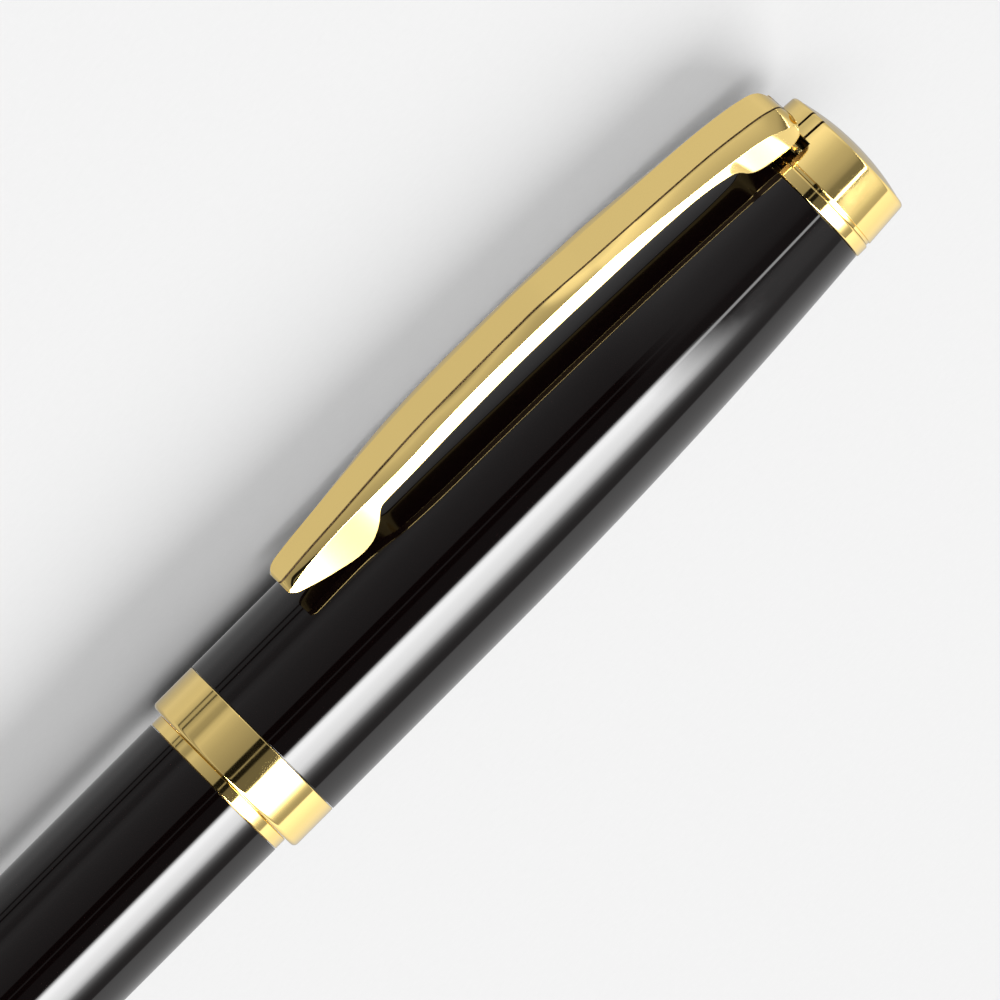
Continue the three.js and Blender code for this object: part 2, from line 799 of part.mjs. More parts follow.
function makeCrown() {
  const sideAt = crownTopAt - crownHeight;
  const edgeAt = crownTopAt - crownDome;
  const topRadius = crownRadius - crownTaper;
  const domeBase = topRadius - edgeRadius;
  const domeRadius = (domeBase ** 2 + crownDome ** 2) / (2 * crownDome);
  const domeCentre = crownTopAt - domeRadius;
  const dome = [0.8, 0.55, 0.28, 0].map((share) => {
    const radius = domeBase * share;
    return [radius, domeCentre + Math.sqrt(domeRadius ** 2 - radius ** 2)];
  });
  const carrierBore = carrierRadius + fitGap;
  const carrierTop = crownAt + grooveWidth + notchIntoCrown + 0.3;
  const socketTop = crownTopAt - crownSocketWall;
  const body = turned([
    [carrierBore, crownAt],
    [crownRadius - grooveDepth, crownAt],
    [crownRadius - grooveDepth, sideAt - 0.06],
    [crownRadius, sideAt],
    ...arc(domeBase, edgeAt - edgeRadius, edgeRadius, 0, 90, 3),
    ...dome,
    [0, socketTop],
    [screwRadius + fitGap, socketTop],
    [screwRadius + fitGap, carrierTop],
    [carrierBore, carrierTop],
  ], shellSides);
  const hinge = hingeRod(pinRadius + pinPlay / 2, pinLength + pinPlay);
  return cut(body, notchBlock(), hinge, ...tongueSlits.map(tongueSlit));
}

// The hub inside the collar and crown that keeps the clip's leaf spring in place.
function makeClipCarrier() {
  const endAt = crownAt + grooveWidth + notchIntoCrown + 0.2;
  return ring(screwRadius + fitGap, carrierRadius, tubeEndAt + seatGap, endAt, shellSides);
}

function makeClipPin() {
  return hingeRod(pinRadius, pinLength);
}

function makeClipSpring() {
  const low = [-clipNeckWidth / 2, pinAt - neckBehindPin, carrierRadius + leafLift];
  const high = [clipNeckWidth / 2, pinAt + 0.55, carrierRadius + leafLift + leafThickness];
  return block(low, high);
}

// The clip is lofted along its length: an outer face, sloping shoulders, leaning sides, and an underside
// with chamfered edges.
function makeClip() {
  const tip = barrelLength + clipTipFromLip;
  const root = crownAt - seatGap + clipRootOverCrown + grooveWidth;
  const reach = root - tip;
  const pad = capRadius + padGap;
  const faceAt = through([
    [tip, pad + 2.73], [tip + 0.85, pad + 3.02], [tip + 5.5, pad + 3.57], [tip + 10.8, pad + 4.09],
    [tip + reach * 0.34, pad + 4.36], [tip + reach * 0.52, pad + 4.42], [tip + reach * 0.64, pad + 4.02],
    [tip + reach * 0.785, pad + 3.5], [root - 6, pad + 3.11], [root - 2.9, pad + 2.6],
    [root - 1.3, pad + 2.2], [root - 0.6, pad + 1.85], [root - 0.2, pad + 1.36], [root, pad + 0.66],
  ]);
  const shoulderAt = through([
    [tip, pad + 2.16], [tip + 2.4, pad + 2.71], [tip + 7.9, pad + 3.27], [tip + reach * 0.4, pad + 3.85],
    [tip + reach * 0.64, pad + 3.53], [tip + reach * 0.82, pad + 2.51], [root - 2.4, pad + 1.5],
    [root - 0.8, pad + 0.58], [root, pad + 0.04],
  ]);
  const underAt = through([
    [tip, pad + 1.75], [tip + 1, pad + 1.29], [tip + 3.2, pad + 0.49], [tip + 5.5, pad],
    [tip + 6.3, pad + 0.1], [tip + 7.1, pad + 0.5], [tip + 7.85, pad + 1.15],
    [tip + 8.35, pad + 1.75], [tip + 8.75, pad + 1.97],
    [tip + 10.8, pad + 2.08], [tip + reach * 0.45, pad + 2.26], [tip + reach * 0.64, pad + 1.96],
    [tip + reach * 0.805, pad + 1.51], [root - 5.8, pad + 0.85], [root - 5.3, pad + 0.53],
    [root - 4.9, pad - 0.05], [root - 4.4, pad - 0.44], [root - 3.6, pad - 0.7], [root - 1.3, pad - 0.95],
    [root - 0.7, pad - 0.9], [root - 0.2, pad - 0.5], [root, pad - 0.1],
  ]);
  const underRise = through([
    [tip, 0.11], [tip + 5.5, 0.22], [tip + 13, 0.57], [tip + 17, 0.61], [root - 6, 0.57], [root, 0.4],
  ]);
  const halfWidth = through([
    [tip, clipTipWidth / 2], [tip + 5, clipTipWidth / 2 + 0.08], [tip + 13, clipWidth / 2],
    [tip + reach * 0.7, clipWidth / 2], [root - 4, clipWidth / 2 + 0.22], [root - 1, clipWidth / 2 + 0.12],
    [root, clipWidth / 2 - 0.2],
  ]);
  const sideLean = through([[tip, 0.17], [tip + 13, 0.21], [root - 4, 0.2], [root - 1, 0.25], [root, 0.4]]);
  const halfFace = through([
    [tip, clipTipFace / 2 - 0.2], [tip + 1, clipTipFace / 2], [tip + 13, clipFaceWidth / 2],
    [root - 4, clipRootFace / 2], [root - 1, clipRootFace / 2 - 0.05], [root, clipRootFace / 2 - 0.4],
  ]);
  const nearTip = [0, 0.3, 1, 2.1, 3.2, 4.4, 5.5, 6.3, 7.1, 7.85, 8.35, 8.75, 10.8];
  const nearRoot = [7.6, 6.4, 5.8, 5.3, 4.9, 4.4, 3.6, 2.4, 1.3, 0.6, 0.2, 0];
  const middle = [0.34, 0.43, 0.52, 0.6, 0.68, 0.76];
  const stations = [
    ...nearTip.map((distance) => tip + distance),
    ...middle.map((share) => tip + reach * share),
    ...nearRoot.map((distance) => root - distance),
  ];
  const sectionAt = (at) => {
    const side = halfWidth(at);
    const corner = underAt(at) + underRise(at);
    const shoulder = Math.max(shoulderAt(at), corner + 0.1);
    const right = [
      [side - clipUnderInset, underAt(at)], [side, corner], [side - sideLean(at), shoulder],
      [halfFace(at), faceAt(at)],
    ];
    const left = right.map(([across, out]) => [-across, out]).reverse();
    return [...right, ...left];
  };
  const neckAt = pinAt - neckBehindPin;
  const neckLow = [-clipNeckWidth / 2, neckAt, carrierRadius + 0.4];
  const neckHigh = [clipNeckWidth / 2, neckAt + clipNeckLength, pad + 0.3];
  const blade = lofted(stations, sectionAt);
  return cut(join(blade, block(neckLow, neckHigh)), hingeRod(pinRadius + pinPlay, clipNeckWidth + 1));
}

// A closed body through sections [across, out] that stand at places along the pen.
function lofted(stations, sectionAt) {
  const positions = [];
  const indices = [];
  const count = sectionAt(stations[0]).length;
  stations.forEach((at) => sectionAt(at).forEach(([across, out]) => positions.push(across, at, out)));
  for (let row = 0; row < stations.length - 1; row += 1) {
    for (let i = 0; i < count; i += 1) {
      const here = row * count + i;
      const beside = row * count + ((i + 1) % count);
      indices.push(here, here + count, beside);
      indices.push(beside, here + count, beside + count);
    }
  }
  const last = (stations.length - 1) * count;
  for (let i = 1; i < count - 1; i += 1) {
    indices.push(0, i, i + 1);
    indices.push(last, last + i + 1, last + i);
  }
  const geometry = new THREE.BufferGeometry();
  geometry.setAttribute('position', new THREE.Float32BufferAttribute(positions, 3));
  geometry.setIndex(indices);
  return geometry;
}

function named(name, geometry, material) {
  const mesh = new THREE.Mesh(geometry, material);
  mesh.name = name;
  return mesh;
}

function makeBarrel() {
  return [
    named('tail_cap', makeTailCap(), polishedGold()),
    named('tail_ring', makeTailRing(), polishedGold()),
    named('tail_screw', makeTailScrew(), steel()),
    named('barrel_tube', makeBarrelTube(), blackLacquer()),
    named('barrel_ring', makeBarrelRing(), polishedGold()),
    named('thread_bush', makeThreadBush(), turnedBrass()),
    named('spring_seat', makeSpringSeat(), blackPlastic()),
    named('refill_spring', makeRefillSpring(), steel()),
  ];
}

function makeSection() {
  return [
    named('section_washer', makeSectionWasher(), darkRubber()),
    named('section_coupling', makeSectionCoupling(), turnedBrass()),
    named('section_ring', makeSectionRing(), polishedGold()),
    named('section_grip', makeSectionGrip(), blackLacquer()),
    named('section_liner', makeSectionLiner(), turnedBrass()),
    named('nose_ring', makeNoseRing(), polishedGold()),
  ];
}

function makeRefill() {
  return [
    named('refill_plug', makeRefillPlug(), blackPlastic()),
    named('refill_tube', makeRefillTube(), steel()),
    named('ink_reservoir', makeInkReservoir(), inkedFibre()),
    named('ink_feeder', makeInkFeeder(), inkedFibre()),
    named('refill_cone', makeRefillCone(), blackPlastic()),
    named('tip_socket', makeTipSocket(), steel()),
    named('writing_ball', makeWritingBall(), steel()),
  ];
}

function makeCap() {
  return [
    named('cap_lip_band', makeLipBand(), polishedGold()),
    named('cap_clutch', makeCapClutch(), clearPlastic()),
    named('cap_tube', makeCapTube(), blackLacquer()),
    named('inner_cap', makeInnerCap(), clearPlastic()),
    named('tip_seal', makeTipSeal(), darkRubber()),
    named('crown_screw', makeCrownScrew(), steel()),
    named('crown_washer', makeCrownWasher(), steel()),
    named('cap_collar', makeCollar(), polishedGold()),
    named('cap_crown', makeCrown(), polishedGold()),
    named('clip_carrier', makeClipCarrier(), turnedBrass()),
    named('clip_pin', makeClipPin(), steel()),
    named('clip_spring', makeClipSpring(), steel()),
    named('clip', makeClip(), polishedGold()),
  ];
}

// The cap and its clip are built with the clip outward along +Z, then turned to the clip's place.
const cap = new THREE.Group();
cap.add(...makeCap());
cap.rotation.y = -Math.PI / 2 - THREE.MathUtils.degToRad(clipDrop);

// The pen is built standing along +Y and laid down so that the cap points to -X.
const pen = new THREE.Group();
pen.name = 'rollerball_pen';
pen.add(...makeBarrel(), ...makeSection(), ...makeRefill(), cap);
pen.rotation.z = Math.PI / 2;

export default pen;
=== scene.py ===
import json
import math
import bmesh
import bpy
from mathutils import Matrix, Vector


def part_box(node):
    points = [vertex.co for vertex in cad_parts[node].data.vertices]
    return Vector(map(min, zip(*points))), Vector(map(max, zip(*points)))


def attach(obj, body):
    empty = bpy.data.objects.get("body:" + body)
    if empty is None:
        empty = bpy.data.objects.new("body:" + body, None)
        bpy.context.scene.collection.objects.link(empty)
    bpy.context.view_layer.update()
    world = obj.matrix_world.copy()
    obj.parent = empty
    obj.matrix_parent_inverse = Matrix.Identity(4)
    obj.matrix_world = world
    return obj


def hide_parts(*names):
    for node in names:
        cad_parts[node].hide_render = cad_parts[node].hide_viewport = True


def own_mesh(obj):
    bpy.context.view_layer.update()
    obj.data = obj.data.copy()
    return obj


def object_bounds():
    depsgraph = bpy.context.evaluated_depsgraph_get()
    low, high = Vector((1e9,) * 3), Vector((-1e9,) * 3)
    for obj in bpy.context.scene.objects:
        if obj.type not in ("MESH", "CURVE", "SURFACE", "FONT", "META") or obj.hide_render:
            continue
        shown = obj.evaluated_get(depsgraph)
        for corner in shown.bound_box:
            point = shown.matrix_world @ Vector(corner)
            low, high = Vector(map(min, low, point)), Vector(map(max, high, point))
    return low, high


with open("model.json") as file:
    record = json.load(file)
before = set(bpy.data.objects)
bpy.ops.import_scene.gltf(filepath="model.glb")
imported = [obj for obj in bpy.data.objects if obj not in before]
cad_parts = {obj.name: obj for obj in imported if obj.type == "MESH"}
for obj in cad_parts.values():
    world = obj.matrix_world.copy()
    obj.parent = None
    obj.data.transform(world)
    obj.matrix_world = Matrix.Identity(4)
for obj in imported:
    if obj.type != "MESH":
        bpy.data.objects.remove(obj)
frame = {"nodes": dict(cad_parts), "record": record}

# A rollerball pen that lies on its side with the cap on. The pen runs along -x from its tail.
# Places along it are millimetres from the tail face, and radii are millimetres from its axis.
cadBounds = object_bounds()
millimetre = 0.001
scene = bpy.context.scene
nodeBody = {node: body for body, nodes in frame["record"]["behaviour"]["bodies"].items() for node in nodes}
nodeSlot = {part["node"]: part["material_slot"] for part in frame["record"]["subparts"]}
print("frame loaded,", len(nodeBody), "nodes")


def toLinear(hexColour):
    shares = [int(hexColour[i:i + 2], 16) / 255 for i in (1, 3, 5)]
    linear = [c / 12.92 if c <= 0.04045 else ((c + 0.055) / 1.055) ** 2.4 for c in shares]
    return (*linear, 1.0)


# Adds one node. Settings are sockets or properties by name or number, links are sources by input.
def addNode(tree, kind, settings=None, links=None):
    node = tree.nodes.new(kind)
    for name, value in (settings or {}).items():
        if isinstance(name, str) and hasattr(node, name):
            setattr(node, name, value)
        else:
            node.inputs[name].default_value = value
    for name, source in (links or {}).items():
        tree.links.new(source.outputs[0] if isinstance(source, bpy.types.Node) else source, node.inputs[name])
    return node


# Where a CAD node starts, ends and how far it reaches from the axis.
def span(node):
    low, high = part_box(node)
    return -high.x / millimetre, -low.x / millimetre, (high.z - low.z) / 2 / millimetre


def onPen(at, radius, angle):
    return Vector((-at, radius * math.sin(angle), radius * math.cos(angle))) * millimetre


# Rounds the corners of a loop of (at, radius, fillet). Each arc gets a short flat beside it to hold its
# shading.
def rounded(loop, steps=5, hold=0.03):
    points = []
    for i, corner in enumerate(loop):
        here = Vector(corner[:2])
        fillet = corner[2] if len(corner) > 2 else 0
        back = Vector(loop[i - 1][:2]) - here
        ahead = Vector(loop[(i + 1) % len(loop)][:2]) - here
        if not fillet or back.length < 1e-6 or ahead.length < 1e-6:
            points.append((here.x, here.y))
            continue
        half = back.angle(ahead) / 2
        reach = min(fillet / math.tan(half), 0.45 * back.length, 0.45 * ahead.length)
        fillet = reach * math.tan(half)
        back.normalize()
        ahead.normalize()
        centre = here + (back + ahead).normalized() * (fillet / math.sin(half))
        first = here + back * reach - centre
        last = here + ahead * reach - centre
        flat = min(hold, 0.2 * reach)
        held = here + back * (reach + flat)
        points.append((held.x, held.y))
        for step in range(steps + 1):
            radial = first.slerp(last, step / steps) * fillet
            points.append((centre.x + radial.x, centre.y + radial.y))
        held = here + ahead * (reach + flat)
        points.append((held.x, held.y))
    return points


# Points from one place to another whose radius follows a function.
def along(fromAt, toAt, steps, radiusAt):
    places = [fromAt + (toAt - fromAt) * step / steps for step in range(steps + 1)]
    return [(at, radiusAt(at)) for at in places]


# Makes an object of a filled bmesh, smooth but for its sharp edges.
def finished(name, shape, sharpFrom=32):
    bmesh.ops.remove_doubles(shape, verts=shape.verts, dist=2e-8)
    bmesh.ops.recalc_face_normals(shape, faces=shape.faces)
    mesh = bpy.data.meshes.new(name)
    shape.to_mesh(mesh)
    shape.free()
    mesh.polygons.foreach_set("use_smooth", [True] * len(mesh.polygons))
    mesh.set_sharp_from_angle(angle=math.radians(sharpFrom))
    piece = bpy.data.objects.new(name, mesh)
    scene.collection.objects.link(piece)
    return piece


# Turns a closed loop of (at, radius) about the pen's axis.
def turned(name, loop, sides=192, carve=None):
    shape = bmesh.new()
    rings = []
    for at, radius in loop:
        angles = [2 * math.pi * i / sides for i in range(sides)] if radius > 1e-6 else [0]
        depths = [carve(at, radius, angle) if carve else 0 for angle in angles]
        rings.append([shape.verts.new(onPen(at, radius - depth, angle))
                      for depth, angle in zip(depths, angles)])
    for here, beyond in zip(rings, rings[1:] + rings[:1]):
        for i in range(sides):
            corners = [ring[j % len(ring)] for ring, j in ((here, i), (here, i + 1), (beyond, i + 1),
                                                           (beyond, i))]
            corners = list(dict.fromkeys(corners))
            if len(corners) > 2:
                shape.faces.new(corners)
    return finished(name, shape)


# Fills a row of equal loops of points, with a cap on each end.
def lofted(name, loops, sharpFrom=32, dull=()):
    shape = bmesh.new()
    rows = [[shape.verts.new(point) for point in loop] for loop in loops]
    for here, beyond in zip(rows, rows[1:]):
        for i in range(len(here)):
            j = (i + 1) % len(here)
            face = shape.faces.new((here[i], here[j], beyond[j], beyond[i]))
            # Faces listed in dull take the second material; on the clip that is the brass with painted shade.
            face.material_index = int(i in dull)
    shape.faces.new(rows[0])
    shape.faces.new(rows[-1])
    return finished(name, shape, sharpFrom)


# A smooth function through points of rising first value, with no overshoot between them.
def through(points):
    slopes = [(b[1] - a[1]) / (b[0] - a[0]) for a, b in zip(points, points[1:])]
    tangents = []
    for before, after in zip(slopes[:1] + slopes, slopes + slopes[-1:]):
        tangents.append(0 if before * after <= 0 else 2 * before * after / (before + after))

    def at(place):
        i = max([0] + [k for k in range(len(slopes)) if points[k][0] <= place])
        width = points[i + 1][0] - points[i][0]
        t = min(max((place - points[i][0]) / width, 0), 1)
        rise = points[i][1] * (1 + 2 * t) * (1 - t) ** 2 + points[i + 1][1] * t * t * (3 - 2 * t)
        return rise + width * (tangents[i] * t * (1 - t) ** 2 - tangents[i + 1] * t * t * (1 - t))
    return at


# Starts a material and gives back its tree and its shader.
def newMaterial(name, settings):
    material = bpy.data.materials.new(name)
    material.use_nodes = True
    tree = material.node_tree
    tree.nodes.clear()
    shader = addNode(tree, "ShaderNodeBsdfPrincipled", settings)
    addNode(tree, "ShaderNodeOutputMaterial", links={"Surface": shader})
    return material, tree, shader


# Object coordinates stretched by a scale for each axis, in repeats per metre.
def stretched(tree, scale):
    place = addNode(tree, "ShaderNodeTexCoord")
    return addNode(tree, "ShaderNodeMapping", {"Scale": scale}, {"Vector": place.outputs["Object"]})


# Roughness that moves between two values with a noise.
def varyRoughness(tree, shader, noise, low, high):
    spread = addNode(tree, "ShaderNodeMapRange", {"From Min": 0.35, "From Max": 0.65, "To Min": low,
                                                  "To Max": high},
                     {"Value": noise})
    tree.links.new(spread.outputs[0], shader.inputs["Roughness"])


# Bump from a height pattern, with its depth in metres.
def addRelief(tree, shader, height, depth):
    bump = addNode(tree, "ShaderNodeBump", {"Strength": 1.0, "Distance": depth}, {"Height": height})
    tree.links.new(bump.outputs[0], shader.inputs["Normal"])


# Gold plate over brass, polished to a mirror on a buffing wheel.
# It gives crisp reflections, and the wheel leaves the faintest lines round the pen.
goldPlate = {"colour": "#fbdc8c", "roughness": (0.05, 0.085), "bufferLine": 0.08, "lineDepth": 0.00001}


def makeGoldPlate():
    material, tree, shader = newMaterial("gold_plate_buffed", {
        "Base Color": toLinear(goldPlate["colour"]), "Metallic": 1.0})
    repeats = 1 / (goldPlate["bufferLine"] * millimetre)
    lines = addNode(tree, "ShaderNodeTexNoise", {"Scale": 1.0, "Detail": 3.0},
                    {"Vector": stretched(tree, (repeats, repeats / 60, repeats / 60))})
    cloud = addNode(tree, "ShaderNodeTexNoise", {"Scale": 450.0, "Detail": 2.0},
                    {"Vector": stretched(tree, (1, 1, 1))})
    varyRoughness(tree, shader, cloud, *goldPlate["roughness"])
    addRelief(tree, shader, lines, goldPlate["lineDepth"] * millimetre)
    return material


# Black acrylic resin, sprayed, cured and polished, as on lacquered pens.
# It gives deep black with sharp reflections that ripple very slightly where the film flowed.
blackResin = {"colour": "#0a0404", "tint": 0.65, "roughness": (0.02, 0.045), "flow": 3.5, "flowDepth": 0.0004}


def makeBlackResin():
    material, tree, shader = newMaterial("black_resin_polished", {
        "Base Color": toLinear(blackResin["colour"]), "IOR": 1.5,
        "Specular Tint": (*[blackResin["tint"]] * 3, 1)})
    flow = addNode(tree, "ShaderNodeTexNoise", {"Scale": 1 / (blackResin["flow"] * millimetre),
                                                "Detail": 1.0},
                   {"Vector": stretched(tree, (0.4, 1, 1))})
    haze = addNode(tree, "ShaderNodeTexNoise", {"Scale": 900.0, "Detail": 4.0},
                   {"Vector": stretched(tree, (1, 1, 1))})
    varyRoughness(tree, shader, haze, *blackResin["roughness"])
    addRelief(tree, shader, flow, blackResin["flowDepth"] * millimetre)
    return material


# Brass turned on a lathe and left bare. The tool leaves rings 0.05 mm apart,
# drawn here at 0.1 mm so that they show.
turnedBrass = {"colour": "#c9a35a", "dull": "#a67f3e", "ring": 0.1, "depth": 0.0015,
               "roughness": (0.22, 0.36)}


def makeTurnedBrass():
    material, tree, shader = newMaterial("brass_turned", {"Metallic": 1.0})
    repeats = 1 / (turnedBrass["ring"] * millimetre)
    rings = addNode(tree, "ShaderNodeTexNoise", {"Scale": 1.0, "Detail": 2.0},
                    {"Vector": stretched(tree, (repeats, 150, 150))})
    cloud = addNode(tree, "ShaderNodeTexNoise", {"Scale": 300.0, "Detail": 4.0},
                    {"Vector": stretched(tree, (1, 1, 1))})
    ramp = addNode(tree, "ShaderNodeMix", {"data_type": "RGBA", 6: toLinear(turnedBrass["dull"]),
                                           7: toLinear(turnedBrass["colour"])}, {0: cloud})
    tree.links.new(ramp.outputs[2], shader.inputs["Base Color"])
    varyRoughness(tree, shader, cloud, *turnedBrass["roughness"])
    addRelief(tree, shader, rings, turnedBrass["depth"] * millimetre)
    return material


# Dark, dull brass as painted shade: it stands for the shade in the slots round the clip's root and the
# collar's notch, and for dark lines on the clip's chamfers and step. It stays dark and dull next to the gold,
# so the cuts read as deep lines.
paintedShadeBrass = {"colour": "#2e2112", "bare": "#4a3719", "roughness": (0.42, 0.6)}


def makePaintedShadeBrass():
    material, tree, shader = newMaterial("brass_painted_shade", {"Metallic": 0.7})
    cloud = addNode(tree, "ShaderNodeTexNoise", {"Scale": 2500.0, "Detail": 4.0},
                    {"Vector": stretched(tree, (1, 1, 1))})
    ramp = addNode(tree, "ShaderNodeMix", {"data_type": "RGBA", 6: toLinear(paintedShadeBrass["colour"]),
                                           7: toLinear(paintedShadeBrass["bare"])}, {0: cloud})
    tree.links.new(ramp.outputs[2], shader.inputs["Base Color"])
    varyRoughness(tree, shader, cloud, *paintedShadeBrass["roughness"])
    return material


# Stainless steel, drawn through a die. It gives long fine lines along the pen and a grey satin shine.
drawnSteel = {"colour": "#c3c5c8", "line": 0.06, "depth": 0.0008, "roughness": (0.16, 0.28)}


def makeDrawnSteel():
    material, tree, shader = newMaterial("stainless_steel_drawn", {
        "Base Color": toLinear(drawnSteel["colour"]), "Metallic": 1.0})
    repeats = 1 / (drawnSteel["line"] * millimetre)
    lines = addNode(tree, "ShaderNodeTexNoise", {"Scale": 1.0, "Detail": 3.0},
                    {"Vector": stretched(tree, (repeats / 80, repeats, repeats))})
    varyRoughness(tree, shader, lines, *drawnSteel["roughness"])
    addRelief(tree, shader, lines, drawnSteel["depth"] * millimetre)
    return material


# The four soft and moulded materials differ only in these settings. Grain is the size of their texture.
# Moulded ABS has a fine eroded grain, polythene is milky and waxy, nitrile rubber is matt and dusty,
# and the bonded fibre of the ink reservoir is soaked dark with ink.
mouldedKinds = {
    "black_plastic": {"name": "abs_moulded_black", "colours": ("#141415", "#1c1c1e"), "grain": 0.12,
                      "depth": 0.004, "roughness": (0.34, 0.48), "ior": 1.53, "sheen": 0.0, "waxy": 0.0},
    "natural_plastic": {"name": "polythene_moulded_natural", "colours": ("#d9d8cf", "#e6e5dd"), "grain": 0.6,
                        "depth": 0.003, "roughness": (0.3, 0.42), "ior": 1.51, "sheen": 0.0, "waxy": 0.35},
    "dark_rubber": {"name": "nitrile_rubber_moulded", "colours": ("#1d1d1e", "#29292a"), "grain": 0.2,
                    "depth": 0.006, "roughness": (0.7, 0.85), "ior": 1.52, "sheen": 0.15, "waxy": 0.0},
    "inked_fibre": {"name": "polyester_fibre_inked", "colours": ("#11142e", "#262c58"), "grain": 0.08,
                    "depth": 0.02, "roughness": (0.85, 1.0), "ior": 1.5, "sheen": 0.25, "waxy": 0.0},
}


def makeMoulded(kind):
    material, tree, shader = newMaterial(kind["name"], {
        "IOR": kind["ior"], "Sheen Weight": kind["sheen"], "Subsurface Weight": kind["waxy"],
        "Subsurface Scale": 0.5 * millimetre, "Subsurface Radius": (1.0, 0.9, 0.8)})
    grain = addNode(tree, "ShaderNodeTexNoise", {"Scale": 1 / (kind["grain"] * millimetre), "Detail": 4.0},
                    {"Vector": stretched(tree, (1, 1, 1))})
    ramp = addNode(tree, "ShaderNodeMix", {"data_type": "RGBA", 6: toLinear(kind["colours"][0]),
                                           7: toLinear(kind["colours"][1])}, {0: grain})
    tree.links.new(ramp.outputs[2], shader.inputs["Base Color"])
    varyRoughness(tree, shader, grain, *kind["roughness"])
    addRelief(tree, shader, grain, kind["depth"] * millimetre)
    return material


materials = {slot: makeMoulded(kind) for slot, kind in mouldedKinds.items()}
materials["gold_plate"] = makeGoldPlate()
materials["black_resin"] = makeBlackResin()
materials["turned_brass"] = makeTurnedBrass()
materials["steel"] = makeDrawnSteel()
paintedShade = makePaintedShadeBrass()
for node, slotName in nodeSlot.items():
    frame["nodes"][node].data.materials.clear()
    frame["nodes"][node].data.materials.append(materials[slotName])
print("materials made,", len(materials))


# Lets a finished piece stand for a CAD node: same body, same slot.
def standFor(piece, node):
    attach(piece, nodeBody[node])
    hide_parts(node)
    if piece.data.materials:
        piece.data.materials[0] = materials[nodeSlot[node]]
    else:
        piece.data.materials.append(materials[nodeSlot[node]])
    piece.visible_diffuse = nodeSlot[node] != "gold_plate"  # keeps a gold cast off the floor
    return piece


barrel = {"straight": 17.0, "curve": 1130.0, "edge": 0.05, "bore": 3.75, "mouth": 5.23, "mouthDepth": 8.14,
          "tailWall": 1.6, "screwHole": 1.56}
barrelNear, barrelFar, barrelRadius = span("barrel_tube")
mouthAt = span("barrel_ring")[1]
tailRadius = barrelRadius - (mouthAt - barrel["straight"] - barrelNear) ** 2 / (2 * barrel["curve"])


def barrelOuter(at):
    past = max(mouthAt - barrel["straight"] - at, 0)
    return barrelRadius - past ** 2 / (2 * barrel["curve"])


def makeBarrelTube():
    mouthFloor = mouthAt - barrel["mouthDepth"]
    outer = along(barrelNear + 1, mouthAt - barrel["straight"], 60, barrelOuter)
    loop = [(barrelNear, barrel["screwHole"]), (barrelNear, tailRadius, barrel["edge"]), *outer,
            (barrelFar, barrelRadius, barrel["edge"]), (barrelFar, barrel["mouth"]),
            (mouthFloor, barrel["mouth"]), (mouthFloor, barrel["bore"]),
            (barrelNear + barrel["tailWall"], barrel["bore"]),
            (barrelNear + barrel["tailWall"], barrel["screwHole"])]
    standFor(turned("barrel_shell", rounded(loop)), "barrel_tube")


# Every gold ring is a plain band with small polished edges: inner radius and edge radius for each.
goldRings = {
    "barrel_ring": {"inner": 5.23, "edge": 0.07},
    "tail_ring": {"inner": 1.56, "edge": 0.12},
    "section_ring": {"inner": 4.36, "edge": 0.14},
}


def makeGoldRings():
    for node, ring in goldRings.items():
        near, far, radius = span(node)
        loop = [(near, ring["inner"]), (near, radius, ring["edge"]), (far, radius, ring["edge"]),
                (far, ring["inner"])]
        standFor(turned(node + "_polished", rounded(loop)), node)


tailCap = {"flat": 2.6, "dome": 0.35, "edge": 0.3, "taper": 0.05, "groove": 0.3, "grooveDepth": 0.1,
           "socket": 1.56, "socketFloor": 1.5}


def makeTailCap():
    near, far, radius = span("tail_cap")
    rim = radius - tailCap["taper"]
    reach = rim - tailCap["edge"] - tailCap["flat"]

    def domeAt(share):
        return near + tailCap["dome"] * share ** 2, tailCap["flat"] + reach * share
    dome = [domeAt(step / 12) for step in range(13)]
    corner = [(near + tailCap["dome"] + tailCap["edge"] * (1 - math.cos(turn)),
               rim - tailCap["edge"] * (1 - math.sin(turn)))
              for turn in [math.radians(9 * step) for step in range(2, 11)]]
    foot = far - tailCap["groove"]
    loop = [(near, 0), (near, tailCap["flat"] - 0.05), *dome, *corner,
            (foot, radius, 0.05), (foot, radius - tailCap["grooveDepth"]),
            (far, radius - tailCap["grooveDepth"]),
            (far, tailCap["socket"]), (tailCap["socketFloor"], tailCap["socket"]),
            (tailCap["socketFloor"], 0)]
    standFor(turned("tail_cap_polished", rounded(loop)), "tail_cap")


# The section's thread and the bush it turns in share pitch, depth and phase, so they stay in mesh.
thread = {"pitch": 1.25, "depth": 0.4, "gap": 0.09, "stepsPerTurn": 20, "length": 6.4, "relief": 0.25,
          "bore": 3.2}
threadNear = span("section_coupling")[0]
threadCrest = span("section_coupling")[2]
threadEnd = threadNear + thread["length"]


# How deep the thread is cut at a place: crest, flank, root, flank round each turn.
def threadDepthAt(at, angle):
    phase = ((at - threadNear) / thread["pitch"] - angle / (2 * math.pi)) % 1
    flank = abs(phase - 0.5) * 2
    return thread["depth"] * (1 - min(max((flank - 0.25) * 2, 0), 1))


def makeCoupling():
    near, far, _ = span("section_coupling")
    neck = threadCrest - thread["depth"] - 0.05
    spigot = threadCrest - 0.15
    steps = round((threadEnd - near) / thread["pitch"] * thread["stepsPerTurn"])
    rows = along(near + 0.15, threadEnd, steps, lambda at: threadCrest)
    loop = [(near, thread["bore"]), (near, neck), *rows, (threadEnd + thread["relief"], neck),
            (mouthAt, neck), (mouthAt + 0.04, spigot),
            (far, spigot, 0.1), (far, thread["bore"])]

    def carve(at, radius, angle):
        return threadDepthAt(at, angle) if radius > spigot + 0.1 else 0
    standFor(turned("section_thread", rounded(loop), sides=144, carve=carve), "section_coupling")


